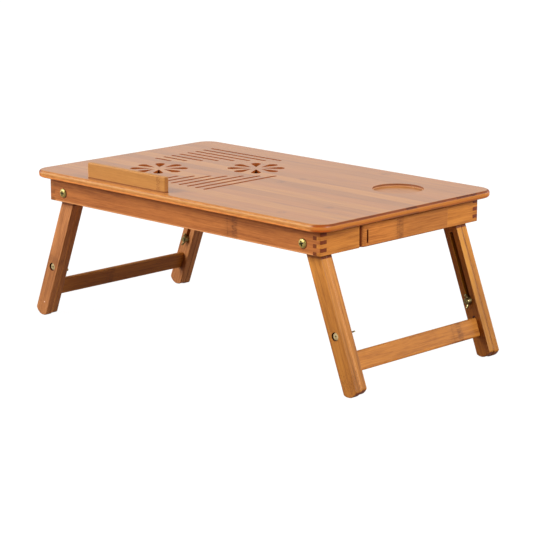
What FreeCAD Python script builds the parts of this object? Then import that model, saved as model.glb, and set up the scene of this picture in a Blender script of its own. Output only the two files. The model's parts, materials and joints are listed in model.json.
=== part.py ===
"""Folding bamboo laptop tray: a tilting top on a low frame with an end drawer and adjustable legs.

Millimetres and degrees. X runs along the tray towards the drawer, -Y towards the user, Z up from the
floor. The origin is on the floor under the middle of the tabletop.
"""
import FreeCAD
import Part
import Sketcher
import math
import os

SIZES = {
    # tabletop
    "top_length": 550,
    "top_width": 338,
    "top_thickness": 10,
    "top_corner": 24,
    "top_edge_round": 4,
    # cup recess in the right-hand back corner, its centre from the end and from the back
    "cup_from_end": 95.5,
    "cup_from_back": 89,
    "cup_radius": 34,
    "cup_depth": 3.5,
    # ventilation pattern in the left half
    "vent_margin": 59,
    "vent_shift": 5.5,
    "vent_half": 110.5,
    "slot_width": 5,
    "slot_pitch": 15.7,
    "slot_gap_to_diagonal": 81,
    "side_slot_start": 3.4,
    "front_slot_start": -2.4,
    "flower_shift": 47.5,
    "petal_tip": 40,
    "petal_round": 7,
    "petal_root": 9,
    # bar that stops a laptop from sliding off, let into the top
    "ledge_margin": 106,
    "ledge_length": 154,
    "ledge_height": 21,
    "ledge_thickness": 7.5,
    "ledge_inset": 10.5,
    "ledge_round": 2,
    "ledge_bevel": 1,
    "ledge_seat": 2,
    "ledge_slack": 0.05,
    # frame under the tabletop
    "end_overhang": 17.5,
    "side_overhang": 16.5,
    "apron_height": 33,
    "apron_thickness": 12,
    "corner_bevel": 2.5,
    # legs
    "splay": 21,
    "leg_length": 199.5,
    "leg_width": 23,
    "leg_board": 10,
    "leg_gap": 0.5,
    "board_gap": 0.2,
    "foot_round": 15,
    "foot_lift": 1.2,
    "slot_wall": 13.4,
    "inner_corner": 4,
    "pivot_drop": 20,
    "stop_gap": 0.1,
    "clamp_reach": 121.5,
    "slide_top": 15,
    "stretcher_drop": 36.2,
    "stretcher_width": 25.4,
    "stretcher_round": 2.5,
    "stretcher_thickness": 7,
    "tenon_length": 6,
    "tenon_shoulder": 1.5,
    # bolts and nuts
    "bolt_radius": 3,
    "bolt_clearance": 0.1,
    "pivot_head": 6.6,
    "pivot_crown": 4.4,
    "pivot_rise": 2.5,
    "clamp_head": 5,
    "clamp_crown": 3.6,
    "clamp_rise": 1.4,
    "cross_length": 6.4,
    "cross_width": 1.4,
    "cross_depth": 1.4,
    "counterbore": 5.7,
    "counterbore_depth": 2.6,
    "nut_flats": 10,
    "nut_height": 5,
    "hub_radius": 5.2,
    "hub_height": 6.2,
    "wing_reach": 10.5,
    "wing_tip": 8,
    "wing_root": 0.8,
    "wing_waist": 3.4,
    "wing_shoulder": 5.2,
    "wing_thickness": 2,
    "wing_rise": 8.5,
    "bolt_overrun": 2,
    "running_gap": 0.3,
    # drawer
    "bay_front": 81,
    "bay_back": 88,
    "drawer_gap_front": 2.8,
    "drawer_gap_back": 0.4,
    "drawer_gap_top": 2.6,
    "drawer_proud": 1.5,
    "drawer_end_round": 8,
    "drawer_top_chamfer": 2.6,
    "drawer_bottom_chamfer": 1.4,
    "grip_place": 10.9,
    "grip_width": 2.6,
    "grip_length": 18,
    "grip_depth": 3,
    "grip_drop": 2,
    "drawer_wall": 8,
    "drawer_floor": 3,
    "drawer_groove": 3,
    "drawer_front_groove": 4,
    "drawer_side_gap": 1,
    "drawer_lift": 0.3,
    "drawer_floor_height": 2.7,
    "drawer_headroom": 5,
    "drawer_back_headroom": 1.5,
    "bay_depth": 147.5,
    "bay_panel": 8,
    "bay_panel_half": 100,
    "drawer_back_gap": 1,
    "closed_gap": 0.2,
    "runner_web": 8,
    "runner_lip": 6,
    "runner_lip_height": 4,
    "head_rail": 12,
    "head_rail_height": 4,
    # tilt mechanism
    "hinge_inset": 87.5,
    "hinge_length": 40,
    "hinge_leaf": 12,
    "hinge_plate": 1,
    "hinge_out": 2.2,
    "knuckle": 2,
    "hinge_pin": 1,
    "hinge_slack": 0.05,
    "knuckle_gap": 0.2,
    "knuckle_room": 0.4,
    "cut_overrun": 1,
    "prop_foot_room": 35.2,
    "prop_drop": 5.5,
    "prop_inset": 26,
    "prop_arm": 10,
    "prop_depth": 10,
    "prop_dowel": 3,
    "prop_pin": 2,
    "prop_pin_slack": 0.08,
    "bracket_width": 8,
    "bracket_length": 18,
    "prop_brace_place": 62,
    "prop_brace_width": 12,
    "prop_brace_depth": 6,
    "rail_room": 3,
    "rail_width": 18,
    "rail_clearance": 0.5,
    "rail_step": 3,
    "crest_gap": 0.4,
    "notch_depth": 2.6,
    "notch_wall": 2.6,
    "notch_land": 0.77,
    "first_tilt": 10,
    "last_tilt": 30,
}
FINGERS = 6.6  # the top one is cut short by the edge of the board
SLOTS = 8
PETALS = 8
NOTCHES = 4
NUT_SIDES = 6
NEARNESS = 0.01
WING_TURN = {("right", "front"): -24, ("right", "back"): 101, ("left", "front"): 78, ("left", "back"): 72}

doc = FreeCAD.newDocument("laptop_tray")
sheet = doc.addObject("Spreadsheet::Sheet", "dims")
places = doc.addObject("Spreadsheet::Sheet", "places")
nodes = []


class Size:
    """A measurement: its formula for FreeCAD and its value in millimetres or degrees."""

    def __init__(self, text, value):
        self.text = text
        self.value = value

    def __add__(self, other):
        other = size_of(other)
        return Size(f"({self.text} + {other.text})", self.value + other.value)

    def __sub__(self, other):
        other = size_of(other)
        return Size(f"({self.text} - {other.text})", self.value - other.value)

    def __mul__(self, other):
        other = size_of(other)
        return Size(f"({self.text} * {other.text})", self.value * other.value)

    def __truediv__(self, other):
        other = size_of(other)
        return Size(f"({self.text} / {other.text})", self.value / other.value)

    def __neg__(self):
        return Size(f"(-1 * {self.text})", -self.value)

    def __radd__(self, other):
        return size_of(other) + self

    def __rsub__(self, other):
        return size_of(other) - self

    def __rmul__(self, other):
        return size_of(other) * self


def size_of(number):
    """A plain number as a Size; a Size stays as it is."""
    if isinstance(number, Size):
        return number
    return Size(repr(float(number)), float(number))


def sine(angle):
    return Size(f"sin({angle.text})", math.sin(math.radians(angle.value)))


def cosine(angle):
    return Size(f"cos({angle.text})", math.cos(math.radians(angle.value)))


def root(area):
    return Size(f"sqrt({area.text})", math.sqrt(area.value))


def driving_sizes():
    """Write the driving dimensions into the sheet, one alias each."""
    found = {}
    for row, (name, number) in enumerate(SIZES.items(), start=1):
        sheet.set(f"A{row}", name)
        sheet.set(f"B{row}", str(number))
        sheet.setAlias(f"B{row}", name)
        found[name] = Size(f"dims.{name}", float(number))
    return found


def place_named(name, size):
    """Keep a worked-out measurement in the second sheet and hand it back under its alias."""
    row = len(placed) + 1
    places.set(f"A{row}", name)
    places.set(f"B{row}", "=" + size.text)
    places.setAlias(f"B{row}", name)
    placed.append(name)
    return Size(f"places.{name}", size.value)


placed = []
d = driving_sizes()

# heights and reaches that several pieces share
half_top_x = place_named("half_top_x", d["top_length"] / 2)
half_top_y = place_named("half_top_y", d["top_width"] / 2)
vent_x = place_named("vent_x", -(half_top_x - d["vent_margin"] - d["vent_half"]))
ledge_x = place_named("ledge_x", -(half_top_x - d["ledge_margin"] - d["ledge_length"] / 2))
ledge_y = place_named(
    "ledge_y", -(half_top_y - d["ledge_inset"] - d["ledge_thickness"] / 2)
)
half_leg = place_named("half_leg", d["leg_width"] / 2)
foot_centre = place_named("foot_centre", d["leg_length"] - d["foot_round"])
foot_corner = place_named(
    "foot_corner",
    foot_centre + root(d["foot_round"] * d["foot_round"] - half_leg * half_leg),
)
pivot_z = place_named("pivot_z", foot_centre * cosine(d["splay"]) + d["foot_round"])
deck = place_named("deck", pivot_z + d["pivot_drop"])
frame_x = place_named("frame_x", half_top_x - d["end_overhang"])
frame_y = place_named("frame_y", half_top_y - d["side_overhang"])
inner_x = place_named("inner_x", frame_x - d["apron_thickness"])
inner_y = place_named("inner_y", frame_y - d["apron_thickness"])
board_y = place_named("board_y", inner_y - d["leg_gap"] - d["leg_board"] / 2)
slide_y = place_named("slide_y", board_y - d["leg_board"] - d["board_gap"])
slide_face = place_named("slide_face", slide_y - d["leg_board"] / 2)
pivot_x = place_named(
    "pivot_x",
    inner_x
    - d["stop_gap"]
    - (d["apron_height"] - d["pivot_drop"]) * sine(d["splay"]) / cosine(d["splay"])
    - half_leg / cosine(d["splay"]),
)
bolt_hole = place_named("bolt_hole", d["bolt_radius"] + d["bolt_clearance"])
height_travel = place_named(
    "height_travel", d["clamp_reach"] - d["slide_top"] - bolt_hole - d["slot_wall"]
)
stretcher_reach = place_named("stretcher_reach", d["clamp_reach"] + d["stretcher_drop"])
finger = place_named("finger", d["apron_height"] / FINGERS)
hinge_x = place_named("hinge_x", frame_x - d["hinge_inset"])
hinge_y = place_named("hinge_y", -(frame_y + d["hinge_out"]))
fold_top = place_named("fold_top", d["pivot_drop"] - half_leg - d["rail_clearance"])
fold_middle = place_named(
    "fold_middle",
    d["pivot_drop"] - d["stretcher_thickness"] / 2 - d["rail_clearance"],
)
prop_length = place_named("prop_length", (inner_y - d["prop_foot_room"] - hinge_y) / 2)
prop_pivot_y = place_named("prop_pivot_y", hinge_y + prop_length)
prop_foot_y = place_named("prop_foot_y", prop_pivot_y + prop_length)
second_tilt = d["first_tilt"] + (d["last_tilt"] - d["first_tilt"]) / (NOTCHES - 1)
first_pitch = place_named(
    "first_pitch", prop_length * 2 * (cosine(d["first_tilt"]) - cosine(second_tilt))
)
notch_slope = place_named("notch_slope", first_pitch - d["notch_wall"] - d["notch_land"])
bay_back_x = place_named("bay_back_x", inner_x - d["bay_depth"])
rail_x = place_named(
    "rail_x", bay_back_x - d["bay_panel"] - d["rail_room"] - d["rail_width"] / 2
)
prop_x = place_named("prop_x", rail_x - d["prop_inset"])
drawer_back_x = place_named("drawer_back_x", bay_back_x + d["drawer_back_gap"])
front_back_x = place_named("front_back_x", inner_x + d["closed_gap"])
box_low_y = place_named(
    "box_low_y", -d["bay_front"] + d["runner_web"] / 2 + d["drawer_side_gap"]
)
box_high_y = place_named(
    "box_high_y", d["bay_back"] - d["drawer_side_gap"] * 2
)
box_floor = place_named(
    "box_floor", d["apron_height"] - d["runner_lip_height"] - d["drawer_lift"]
)


def bind(thing, **sizes):
    """Set each property and tie it to its formula."""
    for name, size in sizes.items():
        size = size_of(size)
        setattr(thing, name, size.value)
        if "." in size.text and ("dims" in size.text or "places" in size.text):
            thing.setExpression(name, size.text)


def move(thing, x=0, y=0, z=0, axis=None, angle=None, turn=None):
    """Put a piece at x, y, z, turned about an axis by a Size or by a fixed turn."""
    base = FreeCAD.Vector(size_of(x).value, size_of(y).value, size_of(z).value)
    rotation = turn or FreeCAD.Rotation()
    if angle is not None:
        rotation = FreeCAD.Rotation(FreeCAD.Vector(*axis), angle.value)
    thing.Placement = FreeCAD.Placement(base, rotation)
    for name, size in (("x", x), ("y", y), ("z", z)):
        if isinstance(size, Size):
            thing.setExpression(f".Placement.Base.{name}", size.text)
    if angle is not None:
        thing.setExpression(".Placement.Rotation.Angle", angle.text)


def node(thing, label):
    """Name a finished sub-part; each one becomes a STEP file."""
    thing.Label = label
    nodes.append(thing)
    return thing


def body(label):
    thing = doc.addObject("PartDesign::Body", label)
    return node(thing, label)


def sketch_on(owner, role, offset=(0, 0, 0)):
    """A sketch on one of the body's own origin planes, moved along it by three offsets."""
    sketch = owner.newObject("Sketcher::SketchObject", "sketch")
    plane = [part for part in owner.Origin.OriginFeatures if part.Role == role][0]
    sketch.AttachmentSupport = (plane, "")
    sketch.MapMode = "FlatFace"
    values = [size_of(part) for part in offset]
    sketch.AttachmentOffset = FreeCAD.Placement(
        FreeCAD.Vector(*[part.value for part in values]), FreeCAD.Rotation()
    )
    for name, part in zip("xyz", offset):
        if isinstance(part, Size):
            sketch.setExpression(f".AttachmentOffset.Base.{name}", part.text)
    return sketch


def arc_between(start, end, radius, side):
    """The short arc from start to end; side 1 turns left, -1 turns right."""
    run = end - start
    middle = start + run * 0.5
    left = FreeCAD.Vector(-run.y, run.x, 0).normalize()
    rise = math.sqrt(max(radius * radius - run.Length * run.Length / 4, 0))
    centre = middle + left * (side * rise)
    top = centre + (middle - left * (side * radius) - middle)
    return Part.ArcOfCircle(start, top, end)


def outline(sketch, path):
    """A closed outline. Each point is (x, y), or (x, y, radius, side) where an arc leaves it."""
    first = sketch.GeometryCount
    points = [
        FreeCAD.Vector(size_of(item[0]).value, size_of(item[1]).value, 0) for item in path
    ]
    shapes = []
    for index, item in enumerate(path):
        start = points[index]
        end = points[(index + 1) % len(path)]
        if len(item) == 4:
            shapes.append(arc_between(start, end, size_of(item[2]).value, item[3]))
        else:
            shapes.append(Part.LineSegment(start, end))
    sketch.addGeometry(shapes, False)
    tie_outline(sketch, path, first)


def tie_outline(sketch, path, first):
    """Join the runs of an outline and hold each corner and radius to its formula."""
    rules = []
    formulas = []
    ends = []
    for index, item in enumerate(path):
        right_turn = len(item) == 4 and item[3] < 0
        ends.append((first + index, 2, 1) if right_turn else (first + index, 1, 2))
    count = len(path)
    for index in range(count):
        this = ends[index]
        following = ends[(index + 1) % count]
        rules.append(Sketcher.Constraint("Coincident", this[0], this[2], following[0], following[1]))
        formulas.append(None)
    for index, item in enumerate(path):
        for name, size in (("DistanceX", item[0]), ("DistanceY", item[1])):
            size = size_of(size)
            rules.append(
                Sketcher.Constraint(name, -1, 1, ends[index][0], ends[index][1], size.value)
            )
            formulas.append(size)
        if len(item) == 4:
            rules.append(Sketcher.Constraint("Radius", first + index, size_of(item[2]).value))
            formulas.append(size_of(item[2]))
    add_rules(sketch, rules, formulas)


def add_rules(sketch, rules, formulas):
    """Add the constraints and tie the ones that have a formula to the sheets."""
    start = sketch.ConstraintCount
    sketch.addConstraint(rules)
    for index, size in enumerate(formulas):
        if size is not None and ("dims" in size.text or "places" in size.text):
            sketch.setExpression(f"Constraints[{start + index}]", size.text)


def ring(sketch, x, y, radius):
    """A full circle held at x, y."""
    index = sketch.GeometryCount
    centre = FreeCAD.Vector(size_of(x).value, size_of(y).value, 0)
    sketch.addGeometry(Part.Circle(centre, FreeCAD.Vector(0, 0, 1), radius.value), False)
    rules = [
        Sketcher.Constraint("DistanceX", -1, 1, index, 3, size_of(x).value),
        Sketcher.Constraint("DistanceY", -1, 1, index, 3, size_of(y).value),
        Sketcher.Constraint("Radius", index, radius.value),
    ]
    add_rules(sketch, rules, [size_of(x), size_of(y), radius])


def rectangle(x0, y0, x1, y1):
    return [(x0, y0), (x1, y0), (x1, y1), (x0, y1)]


def rounded(x0, y0, x1, y1, radius):
    """A rectangle with four rounded corners."""
    x0, y0, x1, y1 = size_of(x0), size_of(y0), size_of(x1), size_of(y1)
    return [
        (x0 + radius, y0),
        (x1 - radius, y0, radius, 1),
        (x1, y0 + radius),
        (x1, y1 - radius, radius, 1),
        (x1 - radius, y1),
        (x0 + radius, y1, radius, 1),
        (x0, y1 - radius),
        (x0, y0 + radius, radius, 1),
    ]


def slot_along_x(x0, x1, y, radius):
    """A round-ended slot between the end centres x0 and x1, its ends made of quarter arcs."""
    x0, x1, y = size_of(x0), size_of(x1), size_of(y)
    return [
        (x0, y - radius),
        (x1, y - radius, radius, 1),
        (x1 + radius, y, radius, 1),
        (x1, y + radius),
        (x0, y + radius, radius, 1),
        (x0 - radius, y, radius, 1),
    ]


def slot_along_y(x, y0, y1, radius):
    """The same slot, standing along Y."""
    x, y0, y1 = size_of(x), size_of(y0), size_of(y1)
    return [
        (x + radius, y0),
        (x + radius, y1, radius, 1),
        (x, y1 + radius, radius, 1),
        (x - radius, y1),
        (x - radius, y0, radius, 1),
        (x, y0 - radius, radius, 1),
    ]


def pad(owner, sketch, length, both=True, down=False):
    """Thicken an outline to both sides of its plane, or to one side."""
    feature = owner.newObject("PartDesign::Pad", "pad")
    feature.Profile = sketch
    feature.Midplane = both
    feature.Reversed = down
    bind(feature, Length=length)
    owner.Tip = feature
    return feature


def pocket(owner, sketch, depth=None, up=False):
    """Cut an outline right through both ways, or to a depth against the sketch's normal."""
    feature = owner.newObject("PartDesign::Pocket", "pocket")
    feature.Profile = sketch
    if depth is None:
        feature.Midplane = True
        feature.Type = "ThroughAll"
    else:
        feature.Reversed = up
        bind(feature, Length=depth)
    owner.Tip = feature
    return feature


def edges_where(owner, test):
    """The names of the body's edges whose two ends and middle all pass the test."""
    doc.recompute()
    names = []
    for index, edge in enumerate(owner.Shape.Edges, start=1):
        middle = edge.valueAt((edge.FirstParameter + edge.LastParameter) / 2)
        points = [vertex.Point for vertex in edge.Vertexes] + [middle]
        back = owner.Placement.inverse()
        if all(test(back.multVec(point)) for point in points):
            names.append(f"Edge{index}")
    return names


def round_edges(owner, names, radius):
    base = owner.Tip
    feature = owner.newObject("PartDesign::Fillet", "fillet")
    feature.Base = (base, names)
    bind(feature, Radius=radius)
    owner.Tip = feature
    return feature


def bevel_edges(owner, names, size):
    base = owner.Tip
    feature = owner.newObject("PartDesign::Chamfer", "chamfer")
    feature.Base = (base, names)
    bind(feature, Size=size)
    owner.Tip = feature
    return feature


def near(a, b):
    return abs(a - b) < NEARNESS


# ---------------------------------------------------------------- tabletop


def tabletop():
    """The plate, its rounded edge, the cup recess, the vents and the seats of ledge and hinges."""
    part = body("tabletop")
    thick = d["top_thickness"]
    plan = sketch_on(part, "XY_Plane")
    outline(plan, rounded(-half_top_x, -half_top_y, half_top_x, half_top_y, d["top_corner"]))
    pad(part, plan, thick, both=False)
    top = thick.value
    rims = edges_where(part, lambda p: near(p.z, 0) or near(p.z, top))
    round_edges(part, rims, d["top_edge_round"])
    circle = sketch_on(part, "XY_Plane", (0, 0, thick))
    cup_x = half_top_x - d["cup_from_end"]
    cup_y = half_top_y - d["cup_from_back"]
    ring(circle, cup_x, cup_y, d["cup_radius"])
    pocket(part, circle, d["cup_depth"])
    seat = sketch_on(part, "XY_Plane", (ledge_x, ledge_y, thick))
    outline(seat, ledge_plan(d["ledge_slack"]))
    pocket(part, seat, d["ledge_seat"])
    vent_slots(part)
    for side in (-1, 1):
        flower(part, side)
    for side in (-1, 1):
        hinge_recess_in_top(part, side)
    move(part, z=deck)
    return part


def vent_slots(part):
    """Two triangles of slots, one on each side of the diagonal through the flowers."""
    radius = d["slot_width"] / 2
    low = -d["vent_half"] + radius
    side_slots = sketch_on(part, "XY_Plane", (vent_x, d["vent_shift"], 0))
    for index in range(SLOTS):
        y = d["side_slot_start"] + d["slot_pitch"] * index
        outline(side_slots, slot_along_x(low, y - d["slot_gap_to_diagonal"] - radius, y, radius))
    pocket(part, side_slots)
    front_slots = sketch_on(part, "XY_Plane", (vent_x, d["vent_shift"], 0))
    for index in range(SLOTS):
        x = d["front_slot_start"] + d["slot_pitch"] * index
        outline(front_slots, slot_along_y(x, low, x - d["slot_gap_to_diagonal"] - radius, radius))
    pocket(part, front_slots)


def petal_path():
    """A teardrop: a round outer end whose straight sides meet in a point towards the middle."""
    centre = d["petal_tip"] - d["petal_round"]
    spread = d["petal_round"] / (centre - d["petal_root"])
    x = centre - d["petal_round"] * spread
    y = d["petal_round"] * root(1 - spread * spread)
    return [
        (d["petal_root"], 0),
        (x, -y, d["petal_round"], 1),
        (d["petal_tip"], 0, d["petal_round"], 1),
        (x, y),
    ]


def flower(part, side):
    """Eight petals cut through the plate round one centre."""
    x = vent_x + d["flower_shift"] * side
    y = d["vent_shift"] + d["flower_shift"] * side
    sketch = sketch_on(part, "XY_Plane", (x, y, 0))
    outline(sketch, petal_path())
    cut = pocket(part, sketch)
    pattern = part.newObject("PartDesign::PolarPattern", "petals")
    pattern.Originals = [cut]
    pattern.Axis = (sketch, ["N_Axis"])
    pattern.Angle = 360
    pattern.Occurrences = PETALS
    part.Tip = pattern


def hinge_recess_in_top(part, side):
    """A shallow seat for the leaf and a deeper groove for the knuckle, in the underside."""
    x = hinge_x * side
    half = d["hinge_length"] / 2 + d["hinge_slack"]
    room = d["knuckle"] + d["knuckle_room"]
    seat = sketch_on(part, "XY_Plane")
    outline(seat, rectangle(x - half, hinge_y - room, x + half, hinge_y + d["hinge_leaf"]))
    pocket(part, seat, d["hinge_plate"], up=True)
    groove = sketch_on(part, "XY_Plane")
    outline(groove, rectangle(x - half, hinge_y - room, x + half, hinge_y + room))
    pocket(part, groove, room, up=True)


def ledge_plan(slack):
    """The ledge's plan, or that of its seat when there is a slack."""
    x = d["ledge_length"] / 2 + slack
    y = d["ledge_thickness"] / 2 + slack
    return rounded(-x, -y, x, y, d["ledge_round"] + slack)


def laptop_ledge():
    """The bar along the front of the left half: round ends, an eased upper edge."""
    part = body("laptop_ledge")
    plan = sketch_on(part, "XY_Plane", (0, 0, -d["ledge_seat"]))
    outline(plan, ledge_plan(0))
    pad(part, plan, d["ledge_height"] + d["ledge_seat"], both=False)
    height = d["ledge_height"].value
    bevel_edges(part, edges_where(part, lambda p: near(p.z, height)), d["ledge_bevel"])
    move(part, x=ledge_x, y=ledge_y, z=deck + d["top_thickness"])


# ---------------------------------------------------------------- frame


def ease_corner(part, x, y, x_side, y_side):
    """Bevel one upright outer corner of the frame."""
    bevel = d["corner_bevel"]
    sketch = sketch_on(part, "XY_Plane")
    path = [(x, y), (x - bevel * x_side, y), (x, y - bevel * y_side)]
    outline(sketch, path)
    pocket(part, sketch)


def finger_side(end, shoulder, first_out, upward):
    """The stepped end of a board from bottom to top, or back down."""
    path = []
    count = math.ceil(FINGERS)
    for index in range(count):
        reach = end if (index % 2 == 0) == first_out else shoulder
        low = -d["apron_height"] + finger * index
        high = low + finger if index + 1 < count else 0
        path += [(reach, low), (reach, high)]
    if not upward:
        path.reverse()
    return path


def long_apron(label, y_side):
    """A long board of the frame, finger-jointed at both ends, with a bolt hole near each."""
    part = body(label)
    face = sketch_on(part, "XZ_Plane")
    right = finger_side(frame_x, inner_x, False, True)
    left = finger_side(-frame_x, -inner_x, False, False)
    outline(face, right + left)
    pad(part, face, d["apron_thickness"])
    holes = sketch_on(part, "XZ_Plane")
    for side in (-1, 1):
        ring(holes, pivot_x * side, -d["pivot_drop"], bolt_hole)
    pocket(part, holes)
    for side in (-1, 1):
        ease_corner(part, frame_x * side, d["apron_thickness"] / 2 * y_side, side, y_side)
    move(part, y=(frame_y - d["apron_thickness"] / 2) * y_side, z=deck)
    return part


def front_apron():
    """The user's side carries the two hinge leaves let into its top edge."""
    part = long_apron("front_apron", -1)
    middle = d["apron_thickness"] / 2
    for side in (-1, 1):
        x = hinge_x * side
        half = d["hinge_length"] / 2 + d["hinge_slack"]
        seat = sketch_on(part, "XY_Plane")
        depth = d["hinge_leaf"] - d["hinge_out"]
        outline(seat, rectangle(x - half, -middle, x + half, depth - middle))
        pocket(part, seat, d["hinge_plate"])


def left_end_apron():
    """The closed end, finger-jointed into both long aprons."""
    part = body("left_end_apron")
    face = sketch_on(part, "YZ_Plane")
    right = finger_side(frame_y, inner_y, True, True)
    left = finger_side(-frame_y, -inner_y, True, False)
    outline(face, right + left)
    pad(part, face, d["apron_thickness"])
    for y_side in (-1, 1):
        ease_corner(part, -(d["apron_thickness"] / 2), frame_y * y_side, -1, y_side)
    move(part, x=-(frame_x - d["apron_thickness"] / 2), z=deck)


def end_block(label, y_side, opening):
    """One of the two short boards beside the drawer."""
    part = body(label)
    face = sketch_on(part, "YZ_Plane")
    if y_side > 0:
        fingers = finger_side(frame_y, inner_y, True, True)
        path = [(opening, -d["apron_height"])] + fingers + [(opening, 0)]
    else:
        fingers = finger_side(-frame_y, -inner_y, True, False)
        path = [(-opening, 0)] + fingers + [(-opening, -d["apron_height"])]
    outline(face, path)
    pad(part, face, d["apron_thickness"])
    ease_corner(part, d["apron_thickness"] / 2, frame_y * y_side, 1, y_side)
    move(part, x=frame_x - d["apron_thickness"] / 2, z=deck)


def drawer_bay():
    """Back panel, head rail and two L-shaped runners that carry the drawer."""
    panel = body("drawer_bay_panel")
    face = sketch_on(panel, "YZ_Plane")
    half = d["bay_panel_half"]
    low = -d["apron_height"]
    outline(
        face,
        [
            (-inner_y, 0),
            (-inner_y, -fold_top),
            (-half, -fold_top),
            (-half, low),
            (half, low),
            (half, -fold_top),
            (inner_y, -fold_top),
            (inner_y, 0),
        ],
    )
    pad(panel, face, d["bay_panel"])
    move(panel, x=bay_back_x - d["bay_panel"] / 2, z=deck)
    rail = body("drawer_head_rail")
    section = sketch_on(rail, "XZ_Plane")
    outline(section, rectangle(-(d["head_rail"] / 2), -d["head_rail_height"], d["head_rail"] / 2, 0))
    low_y = box_low_y - d["drawer_side_gap"]
    high_y = box_high_y + d["drawer_side_gap"]
    pad(rail, section, high_y - low_y)
    move(rail, x=inner_x - d["head_rail"] / 2, y=(high_y + low_y) / 2, z=deck)
    runner("drawer_runner_front", low_y, 1)
    runner("drawer_runner_back", high_y, -1)


def runner(label, face_y, side):
    """An upright web beside the drawer with a lip under it."""
    part = body(label)
    section = sketch_on(part, "YZ_Plane")
    low = -d["apron_height"]
    web = -(d["runner_web"] * side)
    lip = d["runner_lip"] * side
    lip_top = low + d["runner_lip_height"]
    outline(section, [(web, low), (lip, low), (lip, lip_top), (0, lip_top), (0, 0), (web, 0)])
    pad(part, section, d["bay_depth"])
    move(part, x=inner_x - d["bay_depth"] / 2, y=face_y, z=deck)


def rack_path():
    """Side view of a rack rail: deep in the middle, stepped up over the folded legs."""
    crest = -(d["prop_drop"] + d["prop_dowel"] + d["crest_gap"])
    step = slide_face - d["rail_step"]
    first = prop_foot_y - prop_length * 2 * (1 - cosine(d["last_tilt"]))
    start = first - notch_slope - d["prop_dowel"]
    stop = prop_foot_y + d["prop_dowel"] * 2
    path = [(-inner_y, 0), (-inner_y, -fold_top), (-step, -fold_top), (-step, -fold_middle)]
    path += [(step, -fold_middle), (step, -fold_top), (inner_y, -fold_top), (inner_y, 0)]
    path += [(stop, 0), (stop, crest)]
    for index in range(NOTCHES):
        tilt = d["first_tilt"] + (d["last_tilt"] - d["first_tilt"]) * (index / (NOTCHES - 1))
        y = prop_foot_y - prop_length * 2 * (1 - cosine(tilt))
        low = crest - d["notch_depth"]
        path += [(y + d["notch_wall"], crest), (y + d["notch_wall"], low)]
        path += [(y, low), (y - notch_slope, crest)]
    path += [(start, crest), (start, 0)]
    return path


def rack_rails():
    """Two cross rails with saw-toothed notches for the foot of the prop."""
    for name, side in (("left", -1), ("right", 1)):
        part = body(f"rack_rail_{name}")
        face = sketch_on(part, "YZ_Plane")
        outline(face, rack_path())
        pad(part, face, d["rail_width"])
        move(part, x=rail_x * side, z=deck)


# ---------------------------------------------------------------- legs


def leg_point(x_side, reach):
    """The place on a standing leg's centre line at a reach below its pivot."""
    x = (pivot_x + sine(d["splay"]) * reach) * x_side
    return x, pivot_z - cosine(d["splay"]) * reach


def stand(part, x_side, y, reach=0):
    """Lean a leg piece outwards, its own origin on the leg's centre line."""
    x, z = leg_point(x_side, reach)
    move(part, x, y, z, axis=(0, -x_side, 0), angle=d["splay"])


def outer_leg(name, x_side, y_name, y_side):
    """The upper board: round at the pivot, a shallow arc at the foot, bored for two bolts."""
    part = body(f"outer_leg_{name}_{y_name}")
    face = sketch_on(part, "XZ_Plane")
    outline(
        face,
        [
            (half_leg, -foot_corner),
            (half_leg, 0, half_leg, 1),
            (0, half_leg, half_leg, 1),
            (-half_leg, 0),
            (-half_leg, -foot_corner, d["foot_round"], 1),
        ],
    )
    pad(part, face, d["leg_board"])
    holes = sketch_on(part, "XZ_Plane")
    ring(holes, 0, 0, bolt_hole)
    ring(holes, 0, -d["clamp_reach"], bolt_hole)
    pocket(part, holes)
    seat = sketch_on(part, "XZ_Plane", (0, 0, -(d["leg_board"] / 2 * y_side)))
    ring(seat, 0, -d["clamp_reach"], d["counterbore"])
    pocket(part, seat, d["counterbore_depth"], up=y_side > 0)
    stand(part, x_side, board_y * y_side)


def inner_leg(name, x_side, y_name, y_side):
    """The sliding board: slotted for the clamp bolt and mortised for the stretcher."""
    part = body(f"inner_leg_{name}_{y_name}")
    top = -d["slide_top"]
    bottom = -(foot_corner - d["foot_lift"])
    ease = d["inner_corner"]
    face = sketch_on(part, "XZ_Plane")
    outline(
        face,
        [
            (half_leg, bottom),
            (half_leg, top - ease),
            (half_leg - ease, top),
            (-(half_leg - ease), top),
            (-half_leg, top - ease),
            (-half_leg, bottom, d["foot_round"], 1),
        ],
    )
    pad(part, face, d["leg_board"])
    slot = sketch_on(part, "XZ_Plane")
    low = -d["clamp_reach"]
    outline(slot, slot_along_y(0, low, low + height_travel, bolt_hole))
    pocket(part, slot)
    mortise = sketch_on(part, "XZ_Plane", (0, 0, d["leg_board"] / 2 * y_side))
    outline(mortise, tenon_path(-stretcher_reach))
    pocket(part, mortise, d["tenon_length"], up=y_side < 0)
    stand(part, x_side, slide_y * y_side)


def tenon_path(middle):
    """A tongue, thinner and narrower than the stretcher's section."""
    x = d["stretcher_thickness"] / 2 - d["tenon_shoulder"]
    z = d["stretcher_width"] / 2 - d["tenon_shoulder"]
    return rectangle(-x, middle - z, x, middle + z)


def stretcher(name, x_side):
    """The bar between the two sliding boards of one leg frame, tenoned into both."""
    part = body(f"stretcher_{name}")
    half_x = d["stretcher_thickness"] / 2
    half_z = d["stretcher_width"] / 2
    section = sketch_on(part, "XZ_Plane")
    outline(section, rounded(-half_x, -half_z, half_x, half_z, d["stretcher_round"]))
    pad(part, section, slide_face * 2)
    tongue = sketch_on(part, "XZ_Plane")
    outline(tongue, tenon_path(0))
    pad(part, tongue, (slide_face + d["tenon_length"]) * 2)
    stand(part, x_side, 0, stretcher_reach)


# ---------------------------------------------------------------- bolts and nuts


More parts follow.
